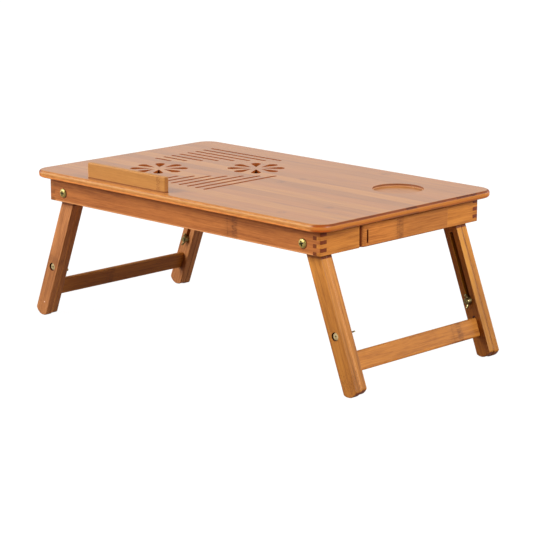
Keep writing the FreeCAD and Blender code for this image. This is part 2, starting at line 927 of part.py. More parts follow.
def turned(label, profile):
    """A piece turned about its own Z axis from half its section."""
    part = body(label)
    sketch = sketch_on(part, "XZ_Plane")
    outline(sketch, profile)
    feature = part.newObject("PartDesign::Revolution", "turn")
    feature.Profile = sketch
    feature.ReferenceAxis = (sketch, ["V_Axis"])
    feature.Angle = 360
    part.Tip = feature
    return part


def cross_path():
    """The plus-shaped recess for a screwdriver."""
    long = d["cross_length"] / 2
    short = d["cross_width"] / 2
    return [
        (-long, -short),
        (-short, -short),
        (-short, -long),
        (short, -long),
        (short, -short),
        (long, -short),
        (long, short),
        (short, short),
        (short, long),
        (-short, long),
        (-short, short),
        (-long, short),
    ]


def bolt(label, shank, kind):
    """A low-headed bolt of the kind pivot or clamp; its head sits above z = 0 and its shank hangs below."""
    radius = d["bolt_radius"]
    rise = d[f"{kind}_rise"]
    return turned(
        label,
        [
            (0, -shank),
            (radius, -shank),
            (radius, 0),
            (d[f"{kind}_head"], 0),
            (d[f"{kind}_crown"], rise),
            (0, rise),
        ],
    )


def facing(y_side):
    """The turn that points a piece's own Z along +Y or -Y."""
    return FreeCAD.Rotation(FreeCAD.Vector(1, 0, 0), -90 * y_side)


def pivot_hardware(name, x_side, y_name, y_side):
    """The bolt a leg folds on, through apron and board, and its hexagon nut."""
    shank = d["apron_thickness"] + d["leg_gap"] + d["leg_board"] + d["nut_height"]
    part = bolt(f"pivot_bolt_{name}_{y_name}", shank, "pivot")
    cross = sketch_on(part, "XY_Plane", (0, 0, d["pivot_rise"]))
    outline(cross, cross_path())
    pocket(part, cross, d["cross_depth"])
    move(part, pivot_x * x_side, frame_y * y_side, pivot_z, turn=facing(y_side))
    nut = body(f"pivot_nut_{name}_{y_name}")
    plan = sketch_on(nut, "XY_Plane")
    half = d["nut_flats"] / 2
    corner = half / cosine(size_of(180 / NUT_SIDES))
    slope = corner / 2
    outline(
        plan,
        [(corner, 0), (slope, half), (-slope, half), (-corner, 0), (-slope, -half), (slope, -half)],
    )
    ring(plan, 0, 0, d["bolt_radius"])
    pad(nut, plan, d["nut_height"], both=False)
    y = (board_y - d["leg_board"] / 2) * y_side
    move(nut, pivot_x * x_side, y, pivot_z, turn=facing(-y_side))


def clamp_hardware(name, x_side, y_name, y_side):
    """The bolt that locks a leg's height, and its wing nut."""
    x, z = leg_point(x_side, d["clamp_reach"])
    seat = board_y + d["leg_board"] / 2 - d["counterbore_depth"]
    inner = slide_face - d["board_gap"]
    end = inner - d["hub_height"] - d["bolt_overrun"]
    part = bolt(f"clamp_bolt_{name}_{y_name}", seat - end, "clamp")
    move(part, x, seat * y_side, z, turn=facing(y_side))
    nut = wing_nut(f"wing_nut_{name}_{y_name}")
    spin = FreeCAD.Rotation(FreeCAD.Vector(0, 0, 1), WING_TURN[(name, y_name)])
    move(nut, x, inner * y_side, z, turn=facing(-y_side).multiply(spin))


def wing_nut(label):
    """A bored hub and two upswept wings."""
    hub = rectangle(bolt_hole, 0, d["hub_radius"], d["hub_height"])
    part = turned(label, hub)
    wings = sketch_on(part, "XZ_Plane")
    start = (bolt_hole + d["hub_radius"]) / 2
    tip = d["wing_reach"]
    bow = d["wing_waist"] + tip
    for side in (1, -1):
        outline(
            wings,
            [
                (start * side, d["wing_root"]),
                (d["wing_tip"] * side, d["wing_waist"], bow, side),
                (tip * side, d["wing_rise"]),
                (d["wing_tip"] * side, d["wing_rise"]),
                (start * side, d["wing_shoulder"]),
            ],
        )
    pad(part, wings, d["wing_thickness"])
    return part


# ---------------------------------------------------------------- drawer


def drawer_front():
    """The drawer's face: rounded at the near end, grooved for the fingers, chamfered."""
    part = body("drawer_front")
    low_y = -d["bay_front"] + d["drawer_gap_front"]
    high_y = d["bay_back"] - d["drawer_gap_back"]
    thick = d["apron_thickness"] - d["closed_gap"] + d["drawer_proud"]
    radius = d["drawer_end_round"]
    plan = sketch_on(part, "XY_Plane", (0, 0, -d["apron_height"]))
    outline(
        plan,
        [
            (0, low_y),
            (thick - radius, low_y, radius, 1),
            (thick, low_y + radius),
            (thick, high_y),
            (0, high_y),
        ],
    )
    height = d["apron_height"] - d["drawer_gap_top"]
    pad(part, plan, height, both=False)
    inner = thick.value - radius.value - NEARNESS
    top = -d["drawer_gap_top"].value
    bottom = -d["apron_height"].value
    upper = edges_where(part, lambda p: near(p.z, top) and p.x > inner)
    bevel_edges(part, upper, d["drawer_top_chamfer"])
    lower = edges_where(part, lambda p: near(p.z, bottom) and near(p.x, thick.value))
    bevel_edges(part, lower, d["drawer_bottom_chamfer"])
    grip = sketch_on(part, "YZ_Plane", (0, 0, thick))
    middle = -(d["apron_height"] + d["drawer_gap_top"]) / 2 - d["grip_drop"]
    run = (d["grip_length"] - d["grip_width"]) / 2
    y = low_y + d["grip_place"]
    outline(grip, slot_along_y(y, middle - run, middle + run, d["grip_width"] / 2))
    pocket(part, grip, d["grip_depth"])
    groove = sketch_on(part, "YZ_Plane")
    floor = -box_floor + d["drawer_floor_height"]
    reach = d["drawer_wall"] - d["drawer_groove"]
    outline(
        groove,
        rectangle(box_low_y + reach, floor, box_high_y - reach, floor + d["drawer_floor"]),
    )
    pocket(part, groove, d["drawer_front_groove"], up=True)
    move(part, x=front_back_x, z=deck)


def drawer_box():
    """Sides with a groove for the floor, a back that rests on the floor, and the floor."""
    length = front_back_x - drawer_back_x
    middle_x = (front_back_x + drawer_back_x) / 2
    for name, edge_y, side in (("front", box_low_y, 1), ("back", box_high_y, -1)):
        part = body(f"drawer_side_{name}")
        section = sketch_on(part, "YZ_Plane")
        low = -box_floor
        high = -d["drawer_headroom"]
        face = d["drawer_wall"] * side
        deep = (d["drawer_wall"] - d["drawer_groove"]) * side
        floor = low + d["drawer_floor_height"]
        over = floor + d["drawer_floor"]
        outline(
            section,
            [
                (0, low),
                (face, low),
                (face, floor),
                (deep, floor),
                (deep, over),
                (face, over),
                (face, high),
                (0, high),
            ],
        )
        pad(part, section, length)
        move(part, x=middle_x, y=edge_y, z=deck)
    wall = d["drawer_wall"]
    middle_y = (box_low_y + box_high_y) / 2
    half = (box_high_y - box_low_y) / 2
    floor = -box_floor + d["drawer_floor_height"]
    back = body("drawer_back")
    face = sketch_on(back, "YZ_Plane")
    low = floor + d["drawer_floor"]
    outline(face, rectangle(-(half - wall), low, half - wall, -d["drawer_back_headroom"]))
    pad(back, face, wall)
    move(back, x=drawer_back_x + wall / 2, y=middle_y, z=deck)
    panel = body("drawer_floor_panel")
    reach = half - wall + d["drawer_groove"]
    plan = sketch_on(panel, "XY_Plane")
    far = front_back_x + d["drawer_front_groove"]
    outline(plan, rectangle(drawer_back_x, -reach, far, reach))
    pad(panel, plan, d["drawer_floor"], both=False)
    move(panel, y=middle_y, z=deck + floor)


# ---------------------------------------------------------------- tilt hinge and prop


def box(x, y, z, dx, dy, dz):
    """A block whose lowest corner is at x, y, z."""
    thing = doc.addObject("Part::Box", "block")
    bind(thing, Length=dx, Width=dy, Height=dz)
    move(thing, x, y, z)
    return thing


def rod(x, y, z, radius, length):
    """A round bar along X that starts at x, y, z."""
    thing = doc.addObject("Part::Cylinder", "rod")
    bind(thing, Radius=radius, Height=length)
    move(thing, x, y, z, turn=FreeCAD.Rotation(FreeCAD.Vector(0, 1, 0), 90))
    return thing


def join(shapes):
    thing = doc.addObject("Part::MultiFuse", "join")
    thing.Shapes = shapes
    thing.Refine = True
    return thing


def cut(base, tool):
    thing = doc.addObject("Part::Cut", "cut")
    thing.Base = base
    thing.Tool = tool
    thing.Refine = True
    return thing


def knuckle_spans(x):
    """The three thirds of a hinge's knuckle line, with the gaps between them taken off."""
    third = d["hinge_length"] / 3
    gap = d["knuckle_gap"] / 2
    low = x - d["hinge_length"] / 2
    return [
        (low, third - gap),
        (low + third + gap, third - gap * 2),
        (low + third * 2 + gap, third - gap),
    ]


def hinge_leaf(x, plate_z, own, others):
    """One leaf: a plate with its own barrels and room for the other leaf's barrels."""
    gap = d["knuckle_gap"]
    low = x - d["hinge_length"] / 2
    room = d["knuckle"] + d["knuckle_room"]
    over = d["cut_overrun"]
    plate = box(low, hinge_y, plate_z, d["hinge_length"], d["hinge_leaf"], d["hinge_plate"])
    for start, length in others:
        tall = d["hinge_plate"] + over * 2
        notch = box(start - gap, hinge_y - over, plate_z - over, length + gap * 2, room + over, tall)
        plate = cut(plate, notch)
    barrels = [rod(start, hinge_y, deck, d["knuckle"], length) for start, length in own]
    return join([plate] + barrels)


def hinges():
    """Two butt hinges; the pin is fast in the frame leaf's two barrels and is one piece with it."""
    for name, side in (("left", -1), ("right", 1)):
        x = hinge_x * side
        low = x - d["hinge_length"] / 2
        first, middle, last = knuckle_spans(x)
        lower = hinge_leaf(x, deck - d["hinge_plate"], [first, last], [middle])
        pin = rod(low, hinge_y, deck, d["hinge_pin"], d["hinge_length"])
        node(join([lower, pin]), f"hinge_leaf_frame_{name}")
        upper = hinge_leaf(x, deck, [middle], [first, last])
        hole = d["hinge_pin"] + d["hinge_slack"]
        over = d["cut_overrun"]
        bore = rod(low - over, hinge_y, deck, hole, d["hinge_length"] + over * 2)
        node(cut(upper, bore), f"hinge_leaf_top_{name}")


def prop():
    """Two arms on pins under the top, joined by a brace and by the foot that rides the racks."""
    z = deck - d["prop_drop"]
    length = prop_length
    half = d["prop_depth"] / 2
    reach = rail_x + d["rail_width"] / 2
    for name, side in (("left", -1), ("right", 1)):
        arm = body(f"prop_arm_{name}")
        face = sketch_on(arm, "YZ_Plane")
        outline(face, slot_along_x(0, length, 0, half))
        pad(arm, face, d["prop_arm"])
        holes = sketch_on(arm, "YZ_Plane")
        ring(holes, 0, 0, d["prop_pin"] + d["prop_pin_slack"])
        ring(holes, length, 0, d["prop_dowel"])
        pocket(arm, holes)
        move(arm, prop_x * side, prop_pivot_y, z)
        prop_bracket(name, side, z)
    dowel = rod(-reach, prop_foot_y, z, d["prop_dowel"], reach * 2)
    node(dowel, "prop_foot_dowel")
    brace = body("prop_brace")
    section = sketch_on(brace, "YZ_Plane")
    wide = d["prop_brace_width"] / 2
    deep = d["prop_brace_depth"] / 2
    outline(section, rectangle(-wide, -deep, wide, deep))
    pad(brace, section, prop_x * 2 - d["prop_arm"])
    move(brace, y=prop_pivot_y + d["prop_brace_place"], z=z)


def prop_bracket(name, side, z):
    """The block under the top beside an arm, and the pin through both."""
    inner = prop_x + d["prop_arm"] / 2 + d["running_gap"]
    part = body(f"prop_bracket_{name}")
    face = sketch_on(part, "YZ_Plane")
    half = d["bracket_length"] / 2
    round_part = d["prop_depth"] / 2
    low = -round_part
    outline(
        face,
        [
            (-half, d["prop_drop"]),
            (-half, 0),
            (-round_part, low),
            (round_part, low),
            (half, 0),
            (half, d["prop_drop"]),
        ],
    )
    pad(part, face, d["bracket_width"])
    hole = sketch_on(part, "YZ_Plane")
    ring(hole, 0, 0, d["prop_pin"])
    pocket(part, hole)
    move(part, (inner + d["bracket_width"] / 2) * side, prop_pivot_y, z)
    span = d["prop_arm"] + d["running_gap"] + d["bracket_width"]
    start = prop_x - d["prop_arm"] / 2
    if side > 0:
        pin = rod(start, prop_pivot_y, z, d["prop_pin"], span)
    else:
        pin = rod(-(start + span), prop_pivot_y, z, d["prop_pin"], span)
    node(pin, f"prop_pin_{name}")


def build():
    tabletop()
    laptop_ledge()
    front_apron()
    long_apron("back_apron", 1)
    left_end_apron()
    end_block("end_block_front", -1, d["bay_front"])
    end_block("end_block_back", 1, d["bay_back"])
    drawer_bay()
    rack_rails()
    hinges()
    prop()
    for name, x_side in (("right", 1), ("left", -1)):
        for y_name, y_side in (("front", -1), ("back", 1)):
            outer_leg(name, x_side, y_name, y_side)
            inner_leg(name, x_side, y_name, y_side)
            pivot_hardware(name, x_side, y_name, y_side)
            clamp_hardware(name, x_side, y_name, y_side)
        stretcher(name, x_side)
    drawer_front()
    drawer_box()


def check_and_write():
    """Stop on any failed feature or bad solid, then write one STEP file per sub-part."""
    doc.recompute()
    for thing in doc.Objects:
        if "Invalid" in thing.State or "Error" in thing.State:
            raise RuntimeError(f"{thing.Label} failed: {thing.State}")
    for thing in nodes:
        if thing.Shape.isNull() or not thing.Shape.isValid() or not thing.Shape.Solids:
            raise RuntimeError(f"{thing.Label} has no valid solid")
    os.makedirs("parts", exist_ok=True)
    for thing in nodes:
        thing.Shape.exportStep(f"parts/{thing.Label}.step")


build()
check_and_write()
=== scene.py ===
"""Looks of a folding bamboo laptop stand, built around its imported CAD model."""

import json
import math

import bmesh
import bpy
from mathutils import Matrix, Vector

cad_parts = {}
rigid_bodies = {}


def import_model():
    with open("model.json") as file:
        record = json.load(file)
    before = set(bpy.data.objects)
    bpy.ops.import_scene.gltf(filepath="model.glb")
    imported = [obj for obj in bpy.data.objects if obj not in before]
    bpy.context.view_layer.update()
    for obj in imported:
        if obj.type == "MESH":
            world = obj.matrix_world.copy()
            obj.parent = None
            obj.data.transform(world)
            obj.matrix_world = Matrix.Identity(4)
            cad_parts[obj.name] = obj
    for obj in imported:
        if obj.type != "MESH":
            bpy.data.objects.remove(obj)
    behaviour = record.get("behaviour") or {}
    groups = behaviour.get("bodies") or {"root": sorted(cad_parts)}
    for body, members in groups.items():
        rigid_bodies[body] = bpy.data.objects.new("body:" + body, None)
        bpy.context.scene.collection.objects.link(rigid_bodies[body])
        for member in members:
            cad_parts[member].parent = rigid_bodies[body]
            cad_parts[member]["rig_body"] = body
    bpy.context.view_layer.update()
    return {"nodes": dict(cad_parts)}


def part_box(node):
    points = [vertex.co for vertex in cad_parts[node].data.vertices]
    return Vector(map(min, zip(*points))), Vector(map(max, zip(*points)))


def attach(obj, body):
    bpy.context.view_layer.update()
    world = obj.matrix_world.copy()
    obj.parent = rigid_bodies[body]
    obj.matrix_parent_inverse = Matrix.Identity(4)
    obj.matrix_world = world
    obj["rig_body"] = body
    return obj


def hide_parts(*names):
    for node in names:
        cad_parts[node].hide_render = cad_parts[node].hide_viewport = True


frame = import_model()
nodes = frame["nodes"]
body_of_node = {name: thing["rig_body"] for name, thing in nodes.items()}

MM = 0.001
SIDES = {"left": -1, "right": 1}
ENDS = {"front": -1, "back": 1}
SPLAY = math.radians(21)
ALONG_X = Vector((1, 0, 0))
ALONG_Y = Vector((0, 1, 0))
UP = Vector((0, 0, 1))
# Which number of a point or a direction is its x, its y and its z.
X, Y, Z = range(3)

# Places that the pieces share, read from the frame.
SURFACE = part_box("tabletop")[1].z
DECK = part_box("tabletop")[0].z
FRAME_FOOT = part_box("front_apron")[0].z
FRAME_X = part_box("front_apron")[1].x
FRAME_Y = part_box("back_apron")[1].y
APRON = 12 * MM
NEAR = 0.02 * MM

# Camera: it stands off the corner between the front and the right end, and looks slightly down.
VIEW_AZIMUTH = math.radians(44.597)
VIEW_HEIGHT = math.radians(13.184)
VIEW_DISTANCE = 2.8781
VIEW_AIM = Vector((0.01545, 0.00605, 0.09205))
SENSOR = 36.0
LENS = 140.95

# Light: heights in degrees, strengths in watts per square metre, glows as radiance, lift and shine as shares.
FRONT_HEIGHT = 31
FRONT_STRENGTH = 3.85
RIGHT_HEIGHT = 27
RIGHT_STRENGTH = 3.5
FILL_HEIGHT = 14
FILL_STRENGTH = 0.9
BACK_WALL_GLOW = 0.72
FRONT_WALL_GLOW = 0.16
CEILING_GLOW = 0.2
FLOOR_GLOW = 1.05
FLOOR_LIFT = 0.93
FLOOR_SHINE = 0.3
FLOOR_BOUNCE = (0.27, 0.16, 0.09, 1)
FRONT_WALL_COLOUR = (1.0, 0.74, 0.5, 1)
BACK_WALL_COLOUR = (0.97, 0.98, 1.0, 1)


def middle_of(node):
    low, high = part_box(node)
    return (low + high) / 2


def tone(red, green, blue):
    """A colour given as it looks on a screen, 0 to 255, as the shader needs it."""
    def linear(part):
        part /= 255
        return part / 12.92 if part <= 0.04045 else ((part + 0.055) / 1.055) ** 2.4
    return (linear(red), linear(green), linear(blue), 1.0)


# ---------------------------------------------------------------- shader building


# Sockets of the Mix node for colours, whose names it shares with those for numbers.
MIX_FIRST = 6
MIX_SECOND = 7
MIX_RESULT = 2


class Wiring:
    """A node tree that is put together node by node."""

    def __init__(self, tree):
        self.nodes = tree.nodes
        self.links = tree.links
        self.place = self.nodes.new("ShaderNodeTexCoord")
        self.spot = self.place.outputs["Object"]
        self.normal = self.place.outputs["Normal"]

    def feed(self, socket, value):
        """Joins a node to a socket, or sets the socket to a fixed value."""
        if isinstance(value, bpy.types.NodeSocket):
            self.links.new(value, socket)
        else:
            socket.default_value = value

    def add(self, kind, settings=None, **inputs):
        """A new node, with its settings and what goes into it."""
        node = self.nodes.new("ShaderNode" + kind)
        for name, value in (settings or {}).items():
            setattr(node, name, value)
        for name, value in inputs.items():
            self.feed(node.inputs[name.replace("_", " ")], value)
        return node

    def math(self, operation, *values):
        """One step of arithmetic."""
        node = self.add("Math", {"operation": operation})
        for socket, value in zip(node.inputs, values):
            self.feed(socket, value)
        return node.outputs[0]

    def times(self, product, *others):
        """The product of two or more values."""
        for other in others:
            product = self.math("MULTIPLY", product, other)
        return product

    def gap_to(self, value, place):
        """How far a value is from a place, never negative."""
        return self.math("ABSOLUTE", self.math("SUBTRACT", value, place))

    def vector(self, operation, *values):
        node = self.add("VectorMath", {"operation": operation})
        for socket, value in zip(node.inputs, values):
            self.feed(socket, value)
        return node.outputs["Value" if operation in ("DOT_PRODUCT", "LENGTH") else "Vector"]

    def parts(self, vector):
        return self.add("SeparateXYZ", Vector=vector).outputs

    def joined(self, x, y, z):
        return self.add("CombineXYZ", X=x, Y=y, Z=z).outputs[0]

    def noise(self, vector, scale, detail, roughness=0.5):
        node = self.add("TexNoise", Vector=vector, Scale=scale, Detail=detail, Roughness=roughness)
        return node.outputs["Fac"]

    def random(self, vector):
        return self.add("TexWhiteNoise", {"noise_dimensions": "3D"}, Vector=vector).outputs["Value"]

    def fade(self, value, start, end):
        """0 before start and 1 after end, smooth in between; falling when end is below start."""
        low, high = min(start, end), max(start, end)
        rise = (0.0, 1.0) if end > start else (1.0, 0.0)
        node = self.add("MapRange", {"interpolation_type": "SMOOTHSTEP"}, Value=value)
        for name, number in zip(("From Min", "From Max", "To Min", "To Max"), (low, high) + rise):
            node.inputs[name].default_value = number
        return node.outputs["Result"]

    def band(self, value, start, end, soft):
        """1 between start and end, with soft borders."""
        return self.times(self.fade(value, start - soft, start + soft),
                        self.fade(value, end + soft, end - soft))

    def mix(self, factor, first, second, blend="MIX"):
        node = self.add("Mix", {"data_type": "RGBA", "blend_type": blend})
        self.feed(node.inputs["Factor"], factor)
        self.feed(node.inputs[MIX_FIRST], first)
        self.feed(node.inputs[MIX_SECOND], second)
        return node.outputs[MIX_RESULT]

    def ramp(self, value, *stops, kind="LINEAR"):
        """A colour that changes from stop to stop, each given as its place and its colour."""
        node = self.add("ValToRGB", Fac=value)
        node.color_ramp.interpolation = kind
        stones = node.color_ramp.elements
        while len(stones) < len(stops):
            stones.new(0.5)
        for stone, (place, colour) in zip(stones, stops):
            stone.position = place
            stone.color = colour
        return node.outputs["Color"]


class Finish(Wiring):
    """A material on the usual surface shader."""

    def __init__(self, name):
        self.material = bpy.data.materials.new(name)
        self.material.use_nodes = True
        super().__init__(self.material.node_tree)
        self.surface = self.nodes["Principled BSDF"]

    def done(self, colour, roughness, bump, depth, **others):
        """Connects the surface and gives the material back."""
        self.feed(self.surface.inputs["Base Color"], colour)
        self.feed(self.surface.inputs["Roughness"], roughness)
        for name, value in others.items():
            self.feed(self.surface.inputs[name.replace("_", " ")], value)
        dent = self.add("Bump", Height=bump, Distance=depth, Strength=1.0)
        self.links.new(dent.outputs["Normal"], self.surface.inputs["Normal"])
        return self.material


# ---------------------------------------------------------------- bamboo


NODE_BROWN = tone(84, 42, 18)
END_BROWN = tone(72, 12, 0)
END_PALE = tone(102, 32, 2)
LACQUER = {"Coat_Weight": 0.16, "Coat_Roughness": 0.3, "Coat_IOR": 1.5, "Specular_IOR_Level": 0.2}


class Bamboo(Finish):
    """Bamboo whose fibres run along grain, its colour mixed from three tones: deep, middle and pale."""

    def __init__(self, name, grain, width, tones, seed):
        super().__init__(name)
        self.grain = grain
        turn = Matrix((grain, width, grain.cross(width))).to_euler()
        placed = self.add("Mapping", Vector=self.spot)
        placed.inputs["Rotation"].default_value = turn
        self.board = placed.outputs[0]
        self.along, self.across, self.deep = self.parts(self.board)[:3]
        self.tones = tones
        self.offset = (seed * 3.1, seed * 7.7, seed * 5.3)
        self.value = 0.5
        self.colour = None

    def grainy(self, length, breadth, detail=2.0, roughness=0.6):
        """Noise whose flecks are about this long and this broad."""
        scaled = self.vector("MULTIPLY", self.board, (1 / length, 1 / breadth, 1 / breadth))
        return self.noise(self.vector("ADD", scaled, self.offset), 1.0, detail, roughness)

    def shade(self, pattern, strength):
        """Lightens and darkens by a pattern that swings about a half."""
        swing = self.times(self.math("SUBTRACT", pattern, 0.5), strength)
        self.value = self.math("ADD", self.value, swing)

    def fibres(self, fine=1.0, broad=1.0):
        """Short fine flecks, and broad streaks of two widths."""
        self.fleck = self.grainy(14 * MM, 0.9 * MM)
        self.shade(self.fleck, 0.75 * fine)
        self.shade(self.grainy(90 * MM, 2.2 * MM, roughness=0.5), 0.9 * broad)
        self.shade(self.grainy(70 * MM, 11 * MM, roughness=0.5), 0.7 * broad)

    def paint(self):
        """Turns the shading so far into colour."""
        deep, middle, pale = self.tones
        self.colour = self.ramp(self.value, (0.1, deep), (0.5, middle), (0.9, pale))

    def tint(self, mask, colour, blend="MIX"):
        self.colour = self.mix(mask, self.colour, colour, blend)

    def dark_lines(self, breadth, share, strength):
        """A few long thin dark streaks."""
        streak = self.fade(self.grainy(160 * MM, breadth, 1.0, 0.4), 0.5 + share, 0.5 + share + 0.07)
        self.tint(self.times(streak, strength), NODE_BROWN)

    def node_mark(self, place, strength, gap):
        """Where the cane had a node: an uneven line across, and beside it a wide band of brown streaks."""
        wobble = self.times(self.math("SUBTRACT", self.grainy(30 * MM, 4 * MM, roughness=0.5), 0.5), 5 * MM)
        from_line = self.math("SUBTRACT", self.math("ADD", self.along, wobble), place)
        streaks = self.fade(self.grainy(9 * MM, 1.0 * MM), 0.3, 0.7)
        line = self.times(self.fade(self.math("ABSOLUTE", from_line), 1.7 * MM, 0.2 * MM),
                          self.math("MULTIPLY_ADD", streaks, 0.26, 0.08))
        band = self.times(self.fade(self.gap_to(from_line, gap), 6.5 * MM, 3 * MM),
                          self.math("MULTIPLY_ADD", streaks, 0.42, 0.08))
        about = self.fade(self.gap_to(from_line, gap / 2), gap * 1.4, gap * 0.3)
        mark = self.math("ADD", self.math("MAXIMUM", line, band), self.times(about, streaks, 0.32))
        self.tint(self.times(mark, strength), NODE_BROWN)

    def near(self, centre, radius, soft, keep=(1, 1, 1)):
        """1 near a point, or near the line through it along the axis that keep leaves out."""
        offset = self.vector("SUBTRACT", self.spot, tuple(centre))
        away = self.vector("LENGTH", self.vector("MULTIPLY", offset, keep))
        return self.fade(away, radius + soft, radius - soft)

    def from_plane(self, axis, value):
        """How far the spot is from a plane square to X, Y or Z, signed."""
        return self.math("SUBTRACT", self.parts(self.spot)[axis], value)

    def flecked(self, start, end, strength):
        """A stretch of the cane with small dark dots."""
        dots = self.fade(self.grainy(2.2 * MM, 1.3 * MM, 1.0, 0.5), 0.55, 0.68)
        region = self.band(self.along, start, end, 6 * MM)
        self.tint(self.times(region, dots, strength), NODE_BROWN)

    def facing(self, direction, low=0.6, high=0.8):
        """1 where the surface faces along the direction, either way."""
        share = self.vector("DOT_PRODUCT", self.normal, tuple(direction))
        return self.fade(self.math("ABSOLUTE", share), low, high)

    def end_grain(self, strength, mask):
        """Cut ends are darker, with the bundles of fibres as dots."""
        dots = self.fade(self.grainy(1.1 * MM, 0.7 * MM), 0.35, 0.65)
        cut = self.times(self.facing(self.grain), strength)
        if mask is not None:
            cut = self.times(cut, mask)
        self.tint(cut, self.mix(dots, END_BROWN, END_PALE))

    def lacquered(self, **changes):
        """The finished wood under its thin coat."""
        rough = self.math("MULTIPLY_ADD", self.fleck, 0.15, 0.42)
        return self.done(self.colour, rough, self.fleck, 0.02 * MM, **(LACQUER | changes))


def board_bamboo(name, grain, width, tones, seed, marks=(), fine=1.0, broad=1.0, lines=0.25, end_mask=None,
                 end_depth=0.85, extra=None):
    """A board cut from one layer: even in tone, with long streaks and a few nodes."""
    wood = Bamboo(name, grain, width, tones, seed)
    wood.fibres(fine, broad)
    wood.paint()
    wood.dark_lines(1.1 * MM, 0.14, lines)
    for mark in marks:
        wood.node_mark(*mark)
    if extra is not None:
        extra(wood)
    wood.end_grain(end_depth, end_mask(wood) if end_mask else None)
    return wood.lacquered()


def three_tones(red, green, blue):
    """Deep, middle and pale about a middle tone, the deep one redder and the pale one yellower."""
    middle = tone(red, green, blue)
    deep = tuple(part * share for part, share in zip(middle, (0.55, 0.46, 0.4)))
    pale = tuple(part * share for part, share in zip(middle, (1.3, 1.42, 1.5)))
    return deep + (1.0,), middle, pale + (1.0,)


# ---------------------------------------------------------------- the top


TOP_TONES = three_tones(172, 110, 44)
TOP_STRIP = 23.4 * MM
TOP_STRIPS_FROM = -175.2 * MM
STRIP_TONES = {
    "plain": (1.0, 1.0, 1.0, 1), "rosy": (1.0, 0.97, 1.0, 1), "dusky": (0.91, 0.9, 0.95, 1),
    "pale": (1.1, 1.14, 1.06, 1), "smoky": (0.86, 0.85, 0.93, 1),
}
# The strips of the top from the front to the back.
TOP_STRIPS = (
    "plain", "rosy", "pale", "rosy", "dusky", "pale", "rosy", "smoky",
    "pale", "dusky", "rosy", "plain", "dusky", "plain", "rosy",
)
# Small grey marks where a strip has a node: along the top, across it.
TOP_SMUDGES = (
    (0.2017, -0.0777), (0.180, -0.138), (0.0383, 0.004), (0.045, 0.039), (-0.12, 0.098), (0.1, 0.145),
)
SMOKE_BROWN = tone(118, 80, 52)
SMUDGE_BROWN = tone(84, 52, 38)
# Painted shade for the walls of the slots and the petals.
SLOT_SHADE_BROWN = tone(138, 68, 16)
TOP_COAT = 0.85
EDGE_COAT = 0.17

# The cup recess: its middle, a small mark in its floor, its radius, and how far down its wall is brown.
CUP = (0.1795, 0.080, 0.0)
CUP_DOT = (0.1734, 0.0888, 0)
CUP_RADIUS = 34 * MM
CUP_BROWN_DOWN_TO = SURFACE - 2.4 * MM
CUP_BROWN = tone(124, 72, 40)
CUP_PALE = tone(176, 128, 90)

# Tones down the edge of the top, each with its share of the way from the face to the underside: at the long
# sides, at the short ends, and round the corners.
TOP_THICKNESS = 10 * MM
SIDE_BANDS = (
    (0.0, tone(176, 112, 56)), (0.12, tone(150, 90, 42)), (0.3, tone(184, 132, 70)),
    (0.44, tone(178, 120, 58)), (0.52, tone(164, 98, 48)), (0.62, tone(186, 120, 62)),
    (1.0, tone(160, 94, 46)),
)
END_PLIES = (
    (0.0, tone(118, 54, 14)), (0.2, tone(114, 50, 12)), (0.28, tone(180, 112, 44)),
    (0.6, tone(178, 108, 40)), (0.68, tone(146, 82, 34)), (1.0, tone(126, 68, 26)),
)
CORNER_PLIES = (
    (0.0, tone(150, 72, 14)), (0.26, tone(136, 60, 8)), (0.34, tone(186, 112, 44)),
    (0.62, tone(180, 104, 40)), (0.7, tone(150, 72, 18)), (1.0, tone(150, 72, 18)),
)
MOTTLE_PALE = tone(216, 156, 86)
SCRATCH_BROWN = tone(128, 70, 30)
TOP_DASH_BROWN = tone(78, 32, 12)
BOTTOM_DASH_BROWN = tone(104, 66, 44)
RIM_LIGHT = (1.7, 1.7, 1.55, 1)
SIDE_RIM_LIGHT = (1.3, 1.28, 1.25, 1)
# Dark stretches of the top ply where it shows at the short ends: from, to and how dark, in metres along Y.
PLY_DASHES = ((-0.0117, 0.0089, 1.0), (0.0876, 0.128, 0.9), (-0.103, -0.069, 0.35), (0.048, 0.066, 0.3))


def from_first_strip(wood):
    """How far back from the first strip of the top the spot is."""
    return wood.math("SUBTRACT", wood.across, TOP_STRIPS_FROM)


